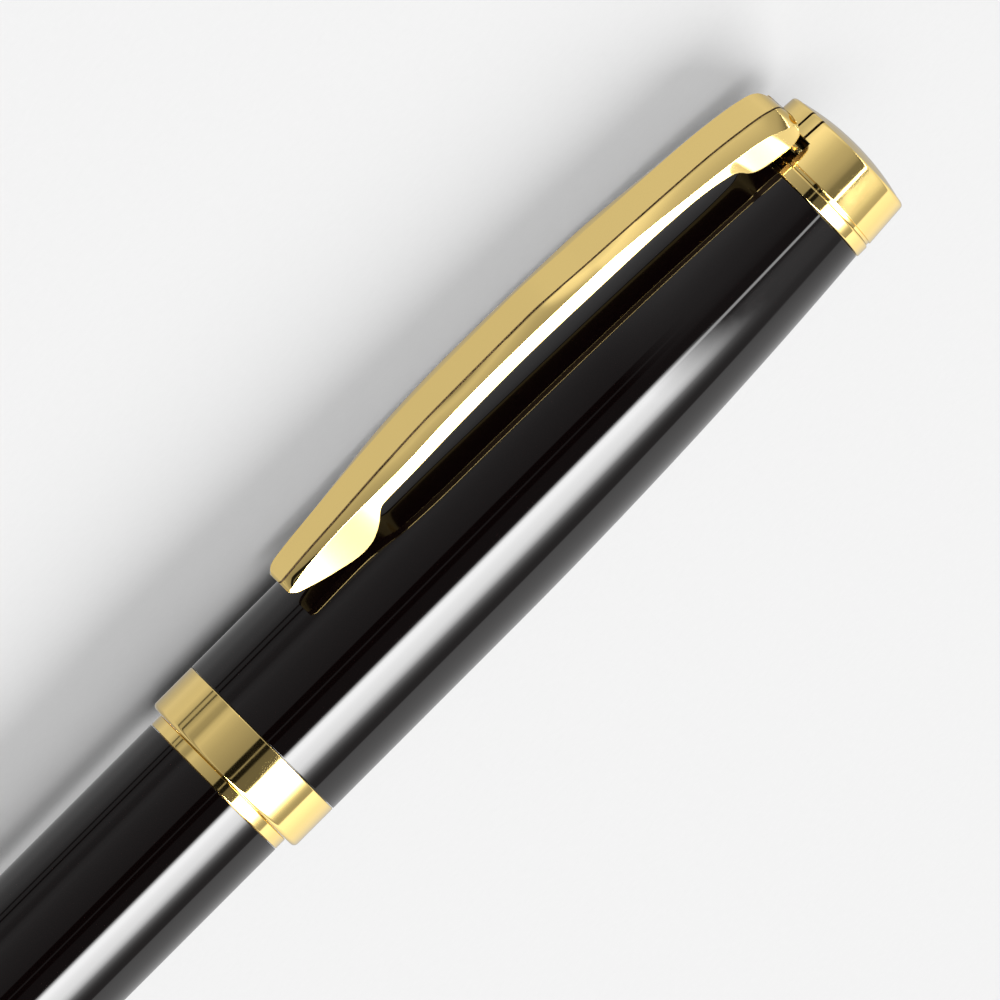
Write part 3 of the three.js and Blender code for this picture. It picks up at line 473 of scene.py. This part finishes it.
def makeThreadBush():
    near, far, radius = span("thread_bush")
    crest = threadCrest + thread["gap"]
    steps = round((far - near) / thread["pitch"] * thread["stepsPerTurn"])
    rows = along(near, far, steps, lambda at: crest)

    def carve(at, reach, angle):
        return threadDepthAt(at, angle) if reach < crest + 0.05 else 0
    loop = [(near, radius), *rows, (far, radius)]
    standFor(turned("thread_bush_turned", loop, sides=144, carve=carve), "thread_bush")


spring = {"wire": 0.25, "turns": 5.5, "closed": 0.75, "steps": 44, "sides": 16}


# A compression spring with a closed turn on each end. It shortens as the refill is pushed in.
def makeRefillSpring():
    near, far, radius = span("refill_spring")
    wire = spring["wire"]
    coil = radius - wire
    start = near + wire
    end = far - wire
    closed = spring["closed"] / spring["turns"]
    pitchAt = through([(0, 0), (closed, 2 * wire / (end - start)),
                       (1 - closed, 1 - 2 * wire / (end - start)), (1, 1)])
    loops = []
    count = round(spring["turns"] * spring["steps"])
    for step in range(count + 1):
        share = step / count
        angle = 2 * math.pi * spring["turns"] * share
        at = start + (end - start) * pitchAt(share)
        around = [2 * math.pi * side / spring["sides"] for side in range(spring["sides"])]
        loops.append([onPen(at + wire * math.sin(turn), coil + wire * math.cos(turn), angle)
                      for turn in around])
    piece = standFor(lofted("refill_spring_wound", loops, 40), "refill_spring")
    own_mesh(piece)


section = {"rear": 4.95, "front": 4.35, "waist": 0.12, "bore": 3.61, "counterbore": 4.36,
           "counterboreDepth": 5.64,
           "edge": 0.06, "washerBore": 4.36}


def makeSectionGrip():
    near, far, _ = span("section_grip")

    def outer(at):
        share = (at - near) / (far - near)
        plain = section["rear"] + (section["front"] - section["rear"]) * share
        return plain - section["waist"] * math.sin(math.pi * share)
    floor = near + section["counterboreDepth"]
    loop = [(near, section["counterbore"]), (near, section["rear"], section["edge"]),
            *along(near + 0.6, far - 0.6, 60, outer),
            (far, section["front"], section["edge"]), (far, section["bore"]), (floor, section["bore"]),
            (floor, section["counterbore"])]
    standFor(turned("section_grip_polished", rounded(loop)), "section_grip")


def makeSectionWasher():
    near, far, radius = span("section_washer")
    loop = [(near, section["washerBore"], 0.06), (near, radius, 0.12), (far, radius, 0.12),
            (far, section["washerBore"], 0.06)]
    standFor(turned("section_washer_moulded", rounded(loop)), "section_washer")


nose = {"length": 3.2, "curve": 1.4, "mouthWall": 0.5, "liner": 3.55, "rearBore": 2.4}


def makeNoseRing():
    near, far, radius = span("nose_ring")
    front = far - nose["length"]
    mouth = coneRadiusAt(far) + 0.2
    rim = mouth + nose["mouthWall"]

    def outer(at):
        share = min(max((at - front) / nose["length"], 0), 1)
        return radius + (rim - radius) * share ** nose["curve"]
    loop = [(near, nose["rearBore"]), (near, nose["liner"]), (front, nose["liner"]),
            (front, radius - 0.02, 0.08),
            *along(front + 0.3, far - 0.25, 24, outer), (far, rim, 0.2), (far, mouth, 0.08),
            (front - 0.6, nose["rearBore"])]
    standFor(turned("nose_ring_polished", rounded(loop)), "nose_ring")


refill = {"cone": 2.3, "mouth": 1.35, "taper": 5.6, "shoulderEdge": 0.12, "bore": 0.6, "socketBore": 1.21,
          "straight": 3.5, "flange": 3.5, "spigotStep": 0.41}
refillNear, refillFar, refillRadius = span("refill_cone")


def coneRadiusAt(at):
    share = min(max((refillFar - at) / refill["taper"], 0), 1)
    return refill["mouth"] + (refill["cone"] - refill["mouth"]) * share


# The moulded front of the refill: a flange, a shoulder, and a cone that ends at the steel tip.
def makeRefillCone():
    shoulder = refillFar - refill["taper"] - refill["straight"]
    flange = refillNear + refill["flange"]
    socketFloor = span("tip_socket")[0] - 0.04
    spigot = refillRadius - refill["spigotStep"]
    loop = [(refillNear, refill["bore"]), (refillNear, spigot, 0.1), (flange, spigot),
            (flange, refillRadius, 0.08),
            (shoulder, refillRadius, refill["shoulderEdge"]), (shoulder, refill["cone"], 0.1),
            (refillFar - refill["taper"], refill["cone"], 2.0), (refillFar, refill["mouth"], 0.06),
            (refillFar, refill["socketBore"]), (socketFloor, refill["socketBore"]),
            (socketFloor, refill["bore"])]
    standFor(turned("refill_cone_moulded", rounded(loop), sides=144), "refill_cone")


tip = {"body": 1.15, "shoulder": 0.85, "neck": 0.62, "rim": 0.43, "ball": 0.35, "cup": 0.4, "channel": 0.28,
       "coneLength": 4.0, "rearBore": 0.75, "seat": 0.37, "steps": 24}


def makeTipSocket():
    near, far, _ = span("tip_socket")
    ballNear, ballFar, _ = span("writing_ball")
    ballAt = (ballNear + ballFar) / 2
    coneAt = far - tip["coneLength"]
    loop = [(near, tip["rearBore"]), (near, tip["body"], 0.08), (coneAt, tip["body"], 0.05),
            (coneAt + 0.12, tip["body"] - 0.1),
            (coneAt + 1.35, tip["shoulder"], 0.3), (far - 0.6, tip["neck"], 0.3), (far, tip["rim"], 0.05),
            (far, tip["ball"] + 0.02), (ballAt, tip["cup"]), (ballAt - tip["seat"], tip["cup"]),
            (ballAt - tip["seat"], tip["channel"]),
            (near + 0.7, tip["channel"])]
    standFor(turned("tip_socket_ground", rounded(loop), sides=144), "tip_socket")


def makeWritingBall():
    near, far, _ = span("writing_ball")
    middle = (near + far) / 2
    radius = (far - near) / 2
    turns = [math.pi * step / tip["steps"] for step in range(tip["steps"] + 1)]
    loop = [(middle - radius * math.cos(turn), max(radius * math.sin(turn), 0)) for turn in turns]
    standFor(turned("writing_ball_ground", loop, sides=64), "writing_ball")


cap = {"straight": 20.8, "curve": 432.0, "edge": 0.07, "bandEdge": 0.34, "bandWall": 0.57, "bandFlange": 0.82,
       "bandMouth": 5.15, "spigot": 6.17, "mouthBore": 5.61, "bore": 5.3, "deepBore": 5.0, "screwHole": 1.56,
       "endWall": 2.6, "rows": 90}
bandNear, bandFar, capRadius = span("cap_lip_band")
tubeNear, tubeFar, _ = span("cap_tube")


def capOuter(at):
    past = max(at - mouthAt - cap["straight"], 0)
    return capRadius - past ** 2 / (2 * cap["curve"])


def makeLipBand():
    inner = capRadius - cap["bandWall"]
    floor = bandNear + cap["bandFlange"]
    loop = [(bandNear, cap["bandMouth"], 0.05), (bandNear, capRadius, cap["bandEdge"]),
            (bandFar, capRadius, 0.08),
            (bandFar, inner), (floor, inner), (floor, cap["bandMouth"])]
    standFor(turned("cap_band_polished", rounded(loop, steps=8)), "cap_lip_band")


def makeCapTube():
    clutchFar = span("cap_clutch")[1] + 0.2
    shoulder = bandFar + 0.04
    innerCapNear = span("inner_cap")[0]
    floor = tubeFar - cap["endWall"]
    outer = along(mouthAt + cap["straight"], tubeFar - 1, cap["rows"], capOuter)
    loop = [(tubeNear, cap["mouthBore"]), (tubeNear, cap["spigot"]), (shoulder, cap["spigot"]),
            (shoulder, capRadius, cap["edge"]), *outer, (tubeFar, capOuter(tubeFar), cap["edge"]),
            (tubeFar, cap["screwHole"]), (floor, cap["screwHole"]), (floor, cap["deepBore"]),
            (innerCapNear - 2, cap["deepBore"]), (innerCapNear - 3, cap["bore"]),
            (clutchFar, cap["bore"]), (clutchFar, cap["mouthBore"])]
    standFor(turned("cap_shell", rounded(loop)), "cap_tube")


clutch = {"inner": 5.1, "bead": 0.2, "beadStart": 0.8, "beadEnd": 1.2}


# The clutch holds the section's ring as the cap closes, with a bead at its mouth.
def makeCapClutch():
    near, far, radius = span("cap_clutch")
    back = clutch["inner"] + clutch["bead"]
    loop = [(near, clutch["inner"], 0.1), (near, radius, 0.08), (far, radius, 0.05), (far, back, 0.08),
            (near + clutch["beadEnd"], back, 0.2), (near + clutch["beadStart"], clutch["inner"], 0.2)]
    standFor(turned("cap_clutch_moulded", rounded(loop)), "cap_clutch")


innerCap = {"wall": 0.45, "sealGap": 0.06, "endWall": 1.2, "pastNose": 0.9, "edge": 0.1, "blend": 0.5}

def makeInnerCap():
    near, far, radius = span("inner_cap")
    inside = radius - innerCap["wall"]
    floor = far - innerCap["endWall"]
    edge = innerCap["edge"]
    sealRadius = span("tip_seal")[2] + innerCap["sealGap"]
    step = span("nose_ring")[1] + innerCap["pastNose"]
    loop = [(near, inside, edge), (near, radius, edge), (far, radius, edge), (far, 0), (floor, 0),
            (floor, sealRadius), (step + 1, sealRadius, innerCap["blend"]), (step, inside, innerCap["blend"])]
    standFor(turned("inner_cap_moulded", rounded(loop)), "inner_cap")


crown = {"height": 4.1, "dome": 0.7, "edge": 0.26, "taper": 0.24, "neck": 0.1, "carrierBore": 3.06,
         "socketWall": 0.9, "notch": 4.2, "notchIn": 1.6, "groove": 0.3, "slits": (0.4, 1.5),
         "slitWidth": 0.2, "slitDepth": 0.6, "inset": 1.34, "collarStep": 0.09, "notchFloor": 2.6}
clipDrop = math.radians(28.5)
acrossClip = Vector((0, math.sin(clipDrop), -math.cos(clipDrop)))
outOfClip = Vector((0, -math.cos(clipDrop), -math.sin(clipDrop)))


def onClip(at, sideways, out):
    return (Vector((-at, 0, 0)) + acrossClip * sideways + outOfClip * out) * millimetre


# Each cut runs along the pen between two places, with four corners given as a place across the clip's
# middle plane and a distance out from the axis.
def carved(piece, cuts):
    for low, high, corners in cuts:
        cutter = bmesh.new()
        ends = [[cutter.verts.new(onClip(at, *corner)) for corner in corners] for at in (low, high)]
        cutter.faces.new(ends[0])
        cutter.faces.new(reversed(ends[1]))
        for i in range(4):
            j = (i + 1) % 4
            cutter.faces.new((ends[0][j], ends[0][i], ends[1][i], ends[1][j]))
        bmesh.ops.recalc_face_normals(cutter, faces=cutter.faces)
        block = finished("cut_block", cutter)
        # The cut's faces take the brass with painted shade, so the slots and the notch read dark.
        block.data.materials.append(paintedShade)
        carve = piece.modifiers.new("cut", "BOOLEAN")
        carve.operation = "DIFFERENCE"
        carve.solver = "EXACT"
        carve.material_mode = "TRANSFER"
        carve.object = block
        bpy.context.view_layer.update()
        mesh = bpy.data.meshes.new_from_object(piece.evaluated_get(bpy.context.evaluated_depsgraph_get()))
        piece.modifiers.clear()
        piece.data = mesh
        bpy.data.objects.remove(block)
    piece.data.set_sharp_from_angle(angle=math.radians(32))
    return piece


def boxCut(low, high, side, otherSide, depth):
    past = capRadius + 1
    return low, high, [(side, depth), (otherSide, depth), (otherSide, past), (side, past)]


# The slot for the clip's root runs through the collar and the foot of the crown.
def rootCut():
    endAt = span("cap_crown")[0] + crown["groove"] + crown["notchIn"]
    return boxCut(tubeFar - 1, endAt, -crown["notch"] / 2, crown["notch"] / 2, crown["notchFloor"])


# Two fine slits free a spring tongue beside the root.
def tongueCuts():
    endAt = span("cap_crown")[0] + crown["groove"] + crown["notchIn"]
    top = span("cap_crown")[1] + 0.1
    radius = capRadius - crown["inset"]
    half = crown["slitWidth"] / 2
    return [boxCut(endAt - 0.1, top, -place - half, -place + half, radius - crown["slitDepth"])
            for place in crown["slits"]]


def makeCollar():
    near, far, _ = span("cap_collar")
    radius = capOuter(tubeFar) + crown["collarStep"]
    loop = [(near, crown["carrierBore"]), (near, radius, 0.12), (far, radius, 0.12),
            (far, crown["carrierBore"])]
    standFor(carved(turned("cap_collar_polished", rounded(loop)), [rootCut()]), "cap_collar")


def makeCrown():
    near, far, _ = span("cap_crown")
    radius = capRadius - crown["inset"]
    sideAt = far - crown["height"]
    top = radius - crown["taper"]
    base = top - crown["edge"]
    domeRadius = (base ** 2 + crown["dome"] ** 2) / (2 * crown["dome"])
    domeCentre = far - domeRadius
    dome = [(domeCentre + math.sqrt(domeRadius ** 2 - (base * share) ** 2), base * share)
            for share in [1 - step / 24 for step in range(1, 25)]]
    edgeAt = far - crown["dome"]
    carrierTop = near + crown["groove"] + crown["notchIn"] + 0.3
    loop = [(near, crown["carrierBore"]), (near, radius - crown["neck"]),
            (sideAt - 0.06, radius - crown["neck"]),
            (sideAt, radius, 0.06), (edgeAt, top, crown["edge"]), *dome,
            (far - crown["socketWall"], 0), (far - crown["socketWall"], cap["screwHole"]),
            (carrierTop, cap["screwHole"]), (carrierTop, crown["carrierBore"])]
    cuts = [rootCut(), *tongueCuts()]
    standFor(carved(turned("cap_crown_polished", rounded(loop, steps=7)), cuts), "cap_crown")


clip = {"width": 4.9, "face": 2.4, "tipWidth": 3.4, "tipFace": 1.96, "rootFace": 2.56, "padGap": 0.1,
        "underInset": 0.75, "stepWidth": 0.15, "stepTilt": 51.0, "paintedShadeFaces": (6, 30, 44, 68),
        "bulge": 0.032, "shoulderSteps": 10,
        "edge": 0.04, "underEdge": 0.14, "tipRound": 0.5, "rootRound": 0.55, "neckWidth": 2.4,
        "neckLength": 2.2,
        "neckBehindPin": 1.7, "neckFrom": 3.4, "neckInto": 0.3, "stations": 260}
clipNear, clipFar, _ = span("clip")


# Heights are measured out from the pen's axis, and places from the clip's tip or root.
def clipCurves():
    low = clipNear
    root = clipFar
    reach = root - low
    pad = capRadius + clip["padGap"]
    half = clip["width"] / 2
    curves = {
        "face": [
            (low, pad + 2.73), (low + 0.85, pad + 3.02), (low + 5.5, pad + 3.57), (low + 10.8, pad + 4.09),
            (low + reach * 0.34, pad + 4.36), (low + reach * 0.52, pad + 4.42),
            (low + reach * 0.64, pad + 4.02),
            (low + reach * 0.785, pad + 3.5), (root - 6, pad + 3.11), (root - 2.9, pad + 2.6),
            (root - 1.3, pad + 2.2), (root - 0.6, pad + 1.85), (root - 0.2, pad + 1.36), (root, pad + 0.66)],
        "shoulder": [
            (low, pad + 2.16), (low + 2.4, pad + 2.71), (low + 7.9, pad + 3.27),
            (low + reach * 0.4, pad + 3.85),
            (low + reach * 0.64, pad + 3.53), (low + reach * 0.82, pad + 2.51), (root - 2.4, pad + 1.5),
            (root - 0.8, pad + 0.58), (root, pad + 0.04)],
        "under": [
            (low, pad + 1.75), (low + 1, pad + 1.29), (low + 3.2, pad + 0.49), (low + 5.5, pad),
            (low + 6.3, pad + 0.1), (low + 7.1, pad + 0.5), (low + 7.85, pad + 1.15),
            (low + 8.35, pad + 1.75),
            (low + 8.75, pad + 1.97), (low + 10.8, pad + 2.08), (low + reach * 0.45, pad + 2.26),
            (low + reach * 0.64, pad + 1.96), (low + reach * 0.805, pad + 1.51), (root - 5.8, pad + 0.85),
            (root - 5.3, pad + 0.53), (root - 4.9, pad - 0.05), (root - 4.4, pad - 0.44),
            (root - 3.6, pad - 0.7),
            (root - 1.3, pad - 0.95), (root - 0.7, pad - 0.9), (root - 0.2, pad - 0.5), (root, pad - 0.1)],
        "rise": [(low, 0.11), (low + 5.5, 0.22), (low + 13, 0.57), (low + 17, 0.61), (root - 6, 0.57),
                 (root, 0.4)],
        "side": [
            (low, clip["tipWidth"] / 2), (low + 5, clip["tipWidth"] / 2 + 0.2), (low + 13, half),
            (low + reach * 0.7, half), (root - 4, half + 0.15), (root - 1.6, half + 0.22),
            (root - 0.8, half + 0.1),
            (root, half - 0.2)],
        "lean": [
            (low, 0.17), (low + 2.5, 0.24), (low + 7.5, 0.24), (low + 13, 0.21), (root - 4, 0.2),
            (root - 1, 0.25),
            (root, 0.4)],
        "flat": [
            (low, clip["tipFace"] / 2 - 0.2), (low + 1, clip["tipFace"] / 2), (low + 13, clip["face"] / 2),
            (root - 4, clip["rootFace"] / 2), (root - 1, clip["rootFace"] / 2 - 0.05),
            (root, clip["rootFace"] / 2 - 0.4)],
    }
    return {name: through(points) for name, points in curves.items()}


# One cross-section: an underside with chamfered edges, leaning sides, a gently rounded shoulder,
# a fine step, and a flat outer face. Both ends of the clip shrink on a quarter circle.
def clipSection(curves, at):
    drawIn = 0
    for distance, size in ((at - clipNear, clip["tipRound"]), (clipFar - at, clip["rootRound"])):
        share = min(distance / size, 1)
        drawIn += size * (1 - math.sqrt(max(1 - (1 - share) ** 2, 0)))
    side = curves["side"](at) - drawIn
    waist = side - curves["lean"](at)
    bottom = curves["under"](at) + 0.5 * drawIn
    corner = bottom + curves["rise"](at)
    top = curves["face"](at) - 0.5 * drawIn
    turnAt = min(max(curves["shoulder"](at) - 0.4 * drawIn, corner + 0.06), top - 0.1)
    flat = min(curves["flat"](at) - drawIn, waist - 0.2)
    tilt = math.radians(clip["stepTilt"])
    stepRun = min(clip["stepWidth"], 0.3 * (top - turnAt) / math.sin(tilt))
    stepSide = flat + stepRun * math.cos(tilt)
    stepTop = top - stepRun * math.sin(tilt)
    run = waist - stepSide
    fall = stepTop - turnAt
    length = math.hypot(run, fall)
    bulge = clip["bulge"] * min(length / 1.2, 1)
    half = [(side - clip["underInset"], bottom, clip["underEdge"]), (side, corner, clip["underEdge"]),
            (waist, turnAt, clip["edge"])]
    for step in range(1, clip["shoulderSteps"]):
        share = step / clip["shoulderSteps"]
        proud = bulge * 4 * share * (1 - share)
        half.append((waist - run * share + proud * fall / length,
                     turnAt + fall * share + proud * run / length))
    half += [(stepSide, stepTop), (flat, top, clip["edge"])]
    return rounded(half + [(-point[0], *point[1:]) for point in reversed(half)], steps=4, hold=0.02)


def makeClipBlade():
    curves = clipCurves()
    ends = [1 - math.cos(math.pi / 2 * step / 14) for step in range(15)]
    first = clipNear + clip["tipRound"]
    last = clipFar - clip["rootRound"]
    places = [clipNear + clip["tipRound"] * share for share in ends]
    places += [first + (last - first) * step / clip["stations"] for step in range(1, clip["stations"])]
    places += [clipFar - clip["rootRound"] * share for share in reversed(ends)]
    loops = [[onClip(at, *point) for point in clipSection(curves, at)] for at in places]
    blade = lofted("clip_blade", loops, 28, clip["paintedShadeFaces"])
    blade.data.materials.append(materials["gold_plate"])
    # The faces listed for the chamfers and the step take the brass with painted shade, which draws dark lines
    # along the clip.
    blade.data.materials.append(paintedShade)
    standFor(blade, "clip")


# The neck under the clip's root reaches in to the pin.
def makeClipNeck():
    pinNear, pinFar, _ = span("clip_pin")
    pinAt = (pinNear + pinFar) / 2
    low = pinAt - clip["neckBehindPin"]
    half = clip["neckWidth"] / 2
    base = clip["neckFrom"]
    top = capRadius + clip["padGap"] + clip["neckInto"]
    outline = rounded([(low, -half, 0.15), (low, half, 0.15), (low + clip["neckLength"], half, 0.15),
                       (low + clip["neckLength"], -half, 0.15)], hold=0.02)
    loops = []
    for out, shrink in ((base, 0.12), (base + 0.04, 0.05), (base + 0.12, 0), (top, 0)):
        middle = low + clip["neckLength"] / 2
        loops.append([onClip(middle + (at - middle) * (1 - shrink), side * (1 - shrink), out) for at,
                      side in outline])
    neck = lofted("clip_neck", loops, 40)
    neck.data.materials.append(materials["gold_plate"])
    neck.visible_diffuse = False
    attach(neck, "clip")


makeBarrelTube()
makeGoldRings()
makeTailCap()
makeThreadBush()
makeRefillSpring()
print("barrel made")
makeCoupling()
makeSectionGrip()
makeSectionWasher()
makeNoseRing()
makeRefillCone()
makeTipSocket()
makeWritingBall()
print("section and refill made")
makeLipBand()
makeCapTube()
makeCapClutch()
makeInnerCap()
makeCollar()
makeCrown()
makeClipBlade()
makeClipNeck()
print("cap and clip made")


studio = {"floor": "#e6e6e6", "floorPale": "#e9e9e9", "tooth": 1400.0, "floorSize": 4.0, "fill": 0.35,
          "backdrop": 0.88, "boxFade": (-0.156, -0.109)}

# The main light comes low from behind, and a weaker one from the front keeps its shadow pale.
suns = {"sun_behind": {"strength": 3.0, "size": 32.0, "height": 28.0, "side": 98.0},
        "sun_front": {"strength": 1.47, "size": 60.0, "height": 45.0, "side": -90.0}}

# Reflected light by direction, as pairs of an angle and a level. The angle runs from the horizon in front (0)
# over the top (90) to the back (180), and below the horizon in front it is negative.
reflected = [
    (-90, 0.66), (-78, 0.68), (-68, 0.5), (-67, 0.1), (-65.5, 0.1), (-64.5, 0.42), (-60, 0.42), (-59, 0.05),
    (-57.5, 0.05), (-56.5, 0.4), (-50, 0.52), (-44, 0.36), (-38, 0.33), (-33, 0.58), (-27, 0.64), (-22, 0.56),
    (-16, 0.5), (-11, 0.45), (-4, 0.41), (3, 0.37), (10, 0.33), (17, 0.3), (17.8, 0.01), (25.5, 0.01),
    (26, 0.3),
    (27.3, 0.3), (27.8, 0.01), (33.5, 0.01), (34.5, 0.14), (42, 0.15), (49, 0.14), (51, 0.5), (53, 13),
    (56, 33),
    (60, 34), (66, 30), (76, 26), (79, 22.5), (82.5, 18), (86, 11), (89, 5), (93, 2.6), (96.5, 1.35),
    (100, 0.8),
    (104, 0.5), (108, 0.42), (112, 0.4), (113, 0.6), (114, 1.5), (120, 1.46), (125, 1.36), (140, 1.12),
    (155, 1.02),
    (163, 0.92), (180, 0.7), (199, 0.45), (222, 0.42), (245, 0.55), (258, 0.7), (270, 0.66)]

# The same where the softbox ends, towards the cap's crown.
reflectedPastBox = [
    (-90, 0.75), (-60, 0.6), (-45, 0.8), (-33, 1.05), (-20, 0.9), (-5, 0.66), (10, 0.52), (25, 0.45),
    (36, 0.33),
    (41, 0.2), (52, 0.18), (53.5, 0.4), (54.5, 10), (56.6, 10), (57.8, 0.4), (60, 0.42), (64, 0.95),
    (72, 1.1),
    (82, 1.0), (92, 0.86), (100, 0.6), (107, 0.5), (111, 0.5), (113, 1.3), (120, 1.22), (140, 1.02),
    (160, 0.95), (199, 0.5), (240, 0.6), (270, 0.75)]


# Seamless pale paper: matt, with a trace of tooth.
def makeFloor():
    material, tree, shader = newMaterial("paper_seamless", {"Specular IOR Level": 0.0})
    tooth = addNode(tree, "ShaderNodeTexNoise", {"Scale": studio["tooth"], "Detail": 3.0},
                    {"Vector": stretched(tree, (1, 1, 1))})
    tone = addNode(tree, "ShaderNodeMix", {"data_type": "RGBA", 6: toLinear(studio["floor"]),
                                           7: toLinear(studio["floorPale"])},
                   {0: tooth})
    tree.links.new(tone.outputs[2], shader.inputs["Base Color"])
    varyRoughness(tree, shader, tooth, 0.9, 1.0)
    shape = bmesh.new()
    bmesh.ops.create_grid(shape, x_segments=8, y_segments=8, size=studio["floorSize"] / 2)
    floor = finished("floor", shape)
    floor.location = (0, 0, cadBounds[0][2])
    floor.data.materials.append(material)
    floor.visible_glossy = False  # the room's list of levels includes the floor


def makeSuns():
    for name, sun in suns.items():
        light = bpy.data.lights.new(name, "SUN")
        light.energy = sun["strength"]
        light.angle = math.radians(sun["size"])
        lamp = bpy.data.objects.new(name, light)
        height = math.radians(sun["height"])
        side = math.radians(sun["side"])
        towards = Vector((math.cos(height) * math.cos(side), math.cos(height) * math.sin(side),
                          math.sin(height)))
        lamp.rotation_euler = towards.to_track_quat("Z", "Y").to_euler()
        lamp.visible_glossy = False
        scene.collection.objects.link(lamp)


# A level that follows a list of angle and level pairs, with straight lines between them.
def profiled(tree, angle, pairs):
    total = None
    for (fromAngle, fromLevel), (toAngle, toLevel) in zip(pairs, pairs[1:]):
        rise = addNode(tree, "ShaderNodeMapRange", {
            "clamp": True, "From Min": fromAngle, "From Max": toAngle, "To Min": 0.0 if total else fromLevel,
            "To Max": toLevel - fromLevel if total else toLevel}, {"Value": angle})
        total = addNode(tree, "ShaderNodeMath", {"operation": "ADD"}, {0: total, 1: rise}) if total else rise
    return total


# The room: even light for matt surfaces, and for shiny ones a long softbox overhead with dark flags beside
# it.
def makeRoom():
    world = bpy.data.worlds.new("studio")
    scene.world = world
    world.use_nodes = True
    tree = world.node_tree
    tree.nodes.clear()
    place = addNode(tree, "ShaderNodeTexCoord")
    parts = addNode(tree, "ShaderNodeSeparateXYZ", links={0: place.outputs["Generated"]})
    flipped = addNode(tree, "ShaderNodeMath", {"operation": "MULTIPLY", 1: -1.0}, {0: parts.outputs["Y"]})
    angle = addNode(tree, "ShaderNodeMath", {"operation": "ARCTAN2"}, {0: parts.outputs["Z"], 1: flipped})
    degrees = addNode(tree, "ShaderNodeMath", {"operation": "DEGREES"}, {0: angle})
    under = addNode(tree, "ShaderNodeMath", {"operation": "LESS_THAN", 1: -90.0}, {0: degrees})
    lift = addNode(tree, "ShaderNodeMath", {"operation": "MULTIPLY", 1: 360.0}, {0: under})
    around = addNode(tree, "ShaderNodeMath", {"operation": "ADD"}, {0: degrees, 1: lift})
    main = profiled(tree, around, reflected)
    past = profiled(tree, around, reflectedPastBox)
    fade = addNode(tree, "ShaderNodeMapRange", {
        "interpolation_type": "SMOOTHSTEP", "clamp": True, "From Min": studio["boxFade"][0],
        "From Max": studio["boxFade"][1], "To Min": 1.0, "To Max": 0.0}, {"Value": parts.outputs["X"]})
    shown = addNode(tree, "ShaderNodeMix", {"data_type": "FLOAT"}, {0: fade, 2: main, 3: past})
    path = addNode(tree, "ShaderNodeLightPath")
    still = addNode(tree, "ShaderNodeMix", {"data_type": "FLOAT", 2: studio["fill"], 3: studio["backdrop"]},
                    {0: path.outputs["Is Camera Ray"]})
    level = addNode(tree, "ShaderNodeMix", {"data_type": "FLOAT"},
                    {0: path.outputs["Is Glossy Ray"], 2: still.outputs[0], 3: shown.outputs[0]})
    light = addNode(tree, "ShaderNodeBackground", {"Color": (1, 1, 1, 1)}, {"Strength": level.outputs[0]})
    addNode(tree, "ShaderNodeOutputWorld", links={"Surface": light})


view = {"aim": (-0.10364, 0.0, 0.0), "fromX": -0.0807, "height": 19.0, "away": 0.95, "lens": 503.0,
        "sensor": 36.0}


# The camera looks from the front and a little above, turned so that the pen runs from lower left to upper
# right.
def makeCamera():
    height = math.radians(view["height"])
    place = Vector((view["fromX"], -view["away"] * math.cos(height), view["away"] * math.sin(height)))
    forward = (Vector(view["aim"]) - place).normalized()
    penward = Vector((-1, 0, 0))
    penward = (penward - forward * penward.dot(forward)).normalized()
    down = forward.cross(penward)
    right = (penward + down).normalized()
    up = (penward - down).normalized()
    camera = bpy.data.objects.new("camera", bpy.data.cameras.new("camera"))
    camera.data.lens = view["lens"]
    camera.data.sensor_width = view["sensor"]
    camera.data.clip_start = 0.01
    axes = (right, up, -forward)
    camera.matrix_world = Matrix([[*(axis[i] for axis in axes), place[i]] for i in range(3)] + [[0, 0, 0, 1]])
    scene.collection.objects.link(camera)
    scene.camera = camera


makeFloor()
makeSuns()
makeRoom()
makeCamera()
scene.view_settings.view_transform = "Standard"
print("studio made")
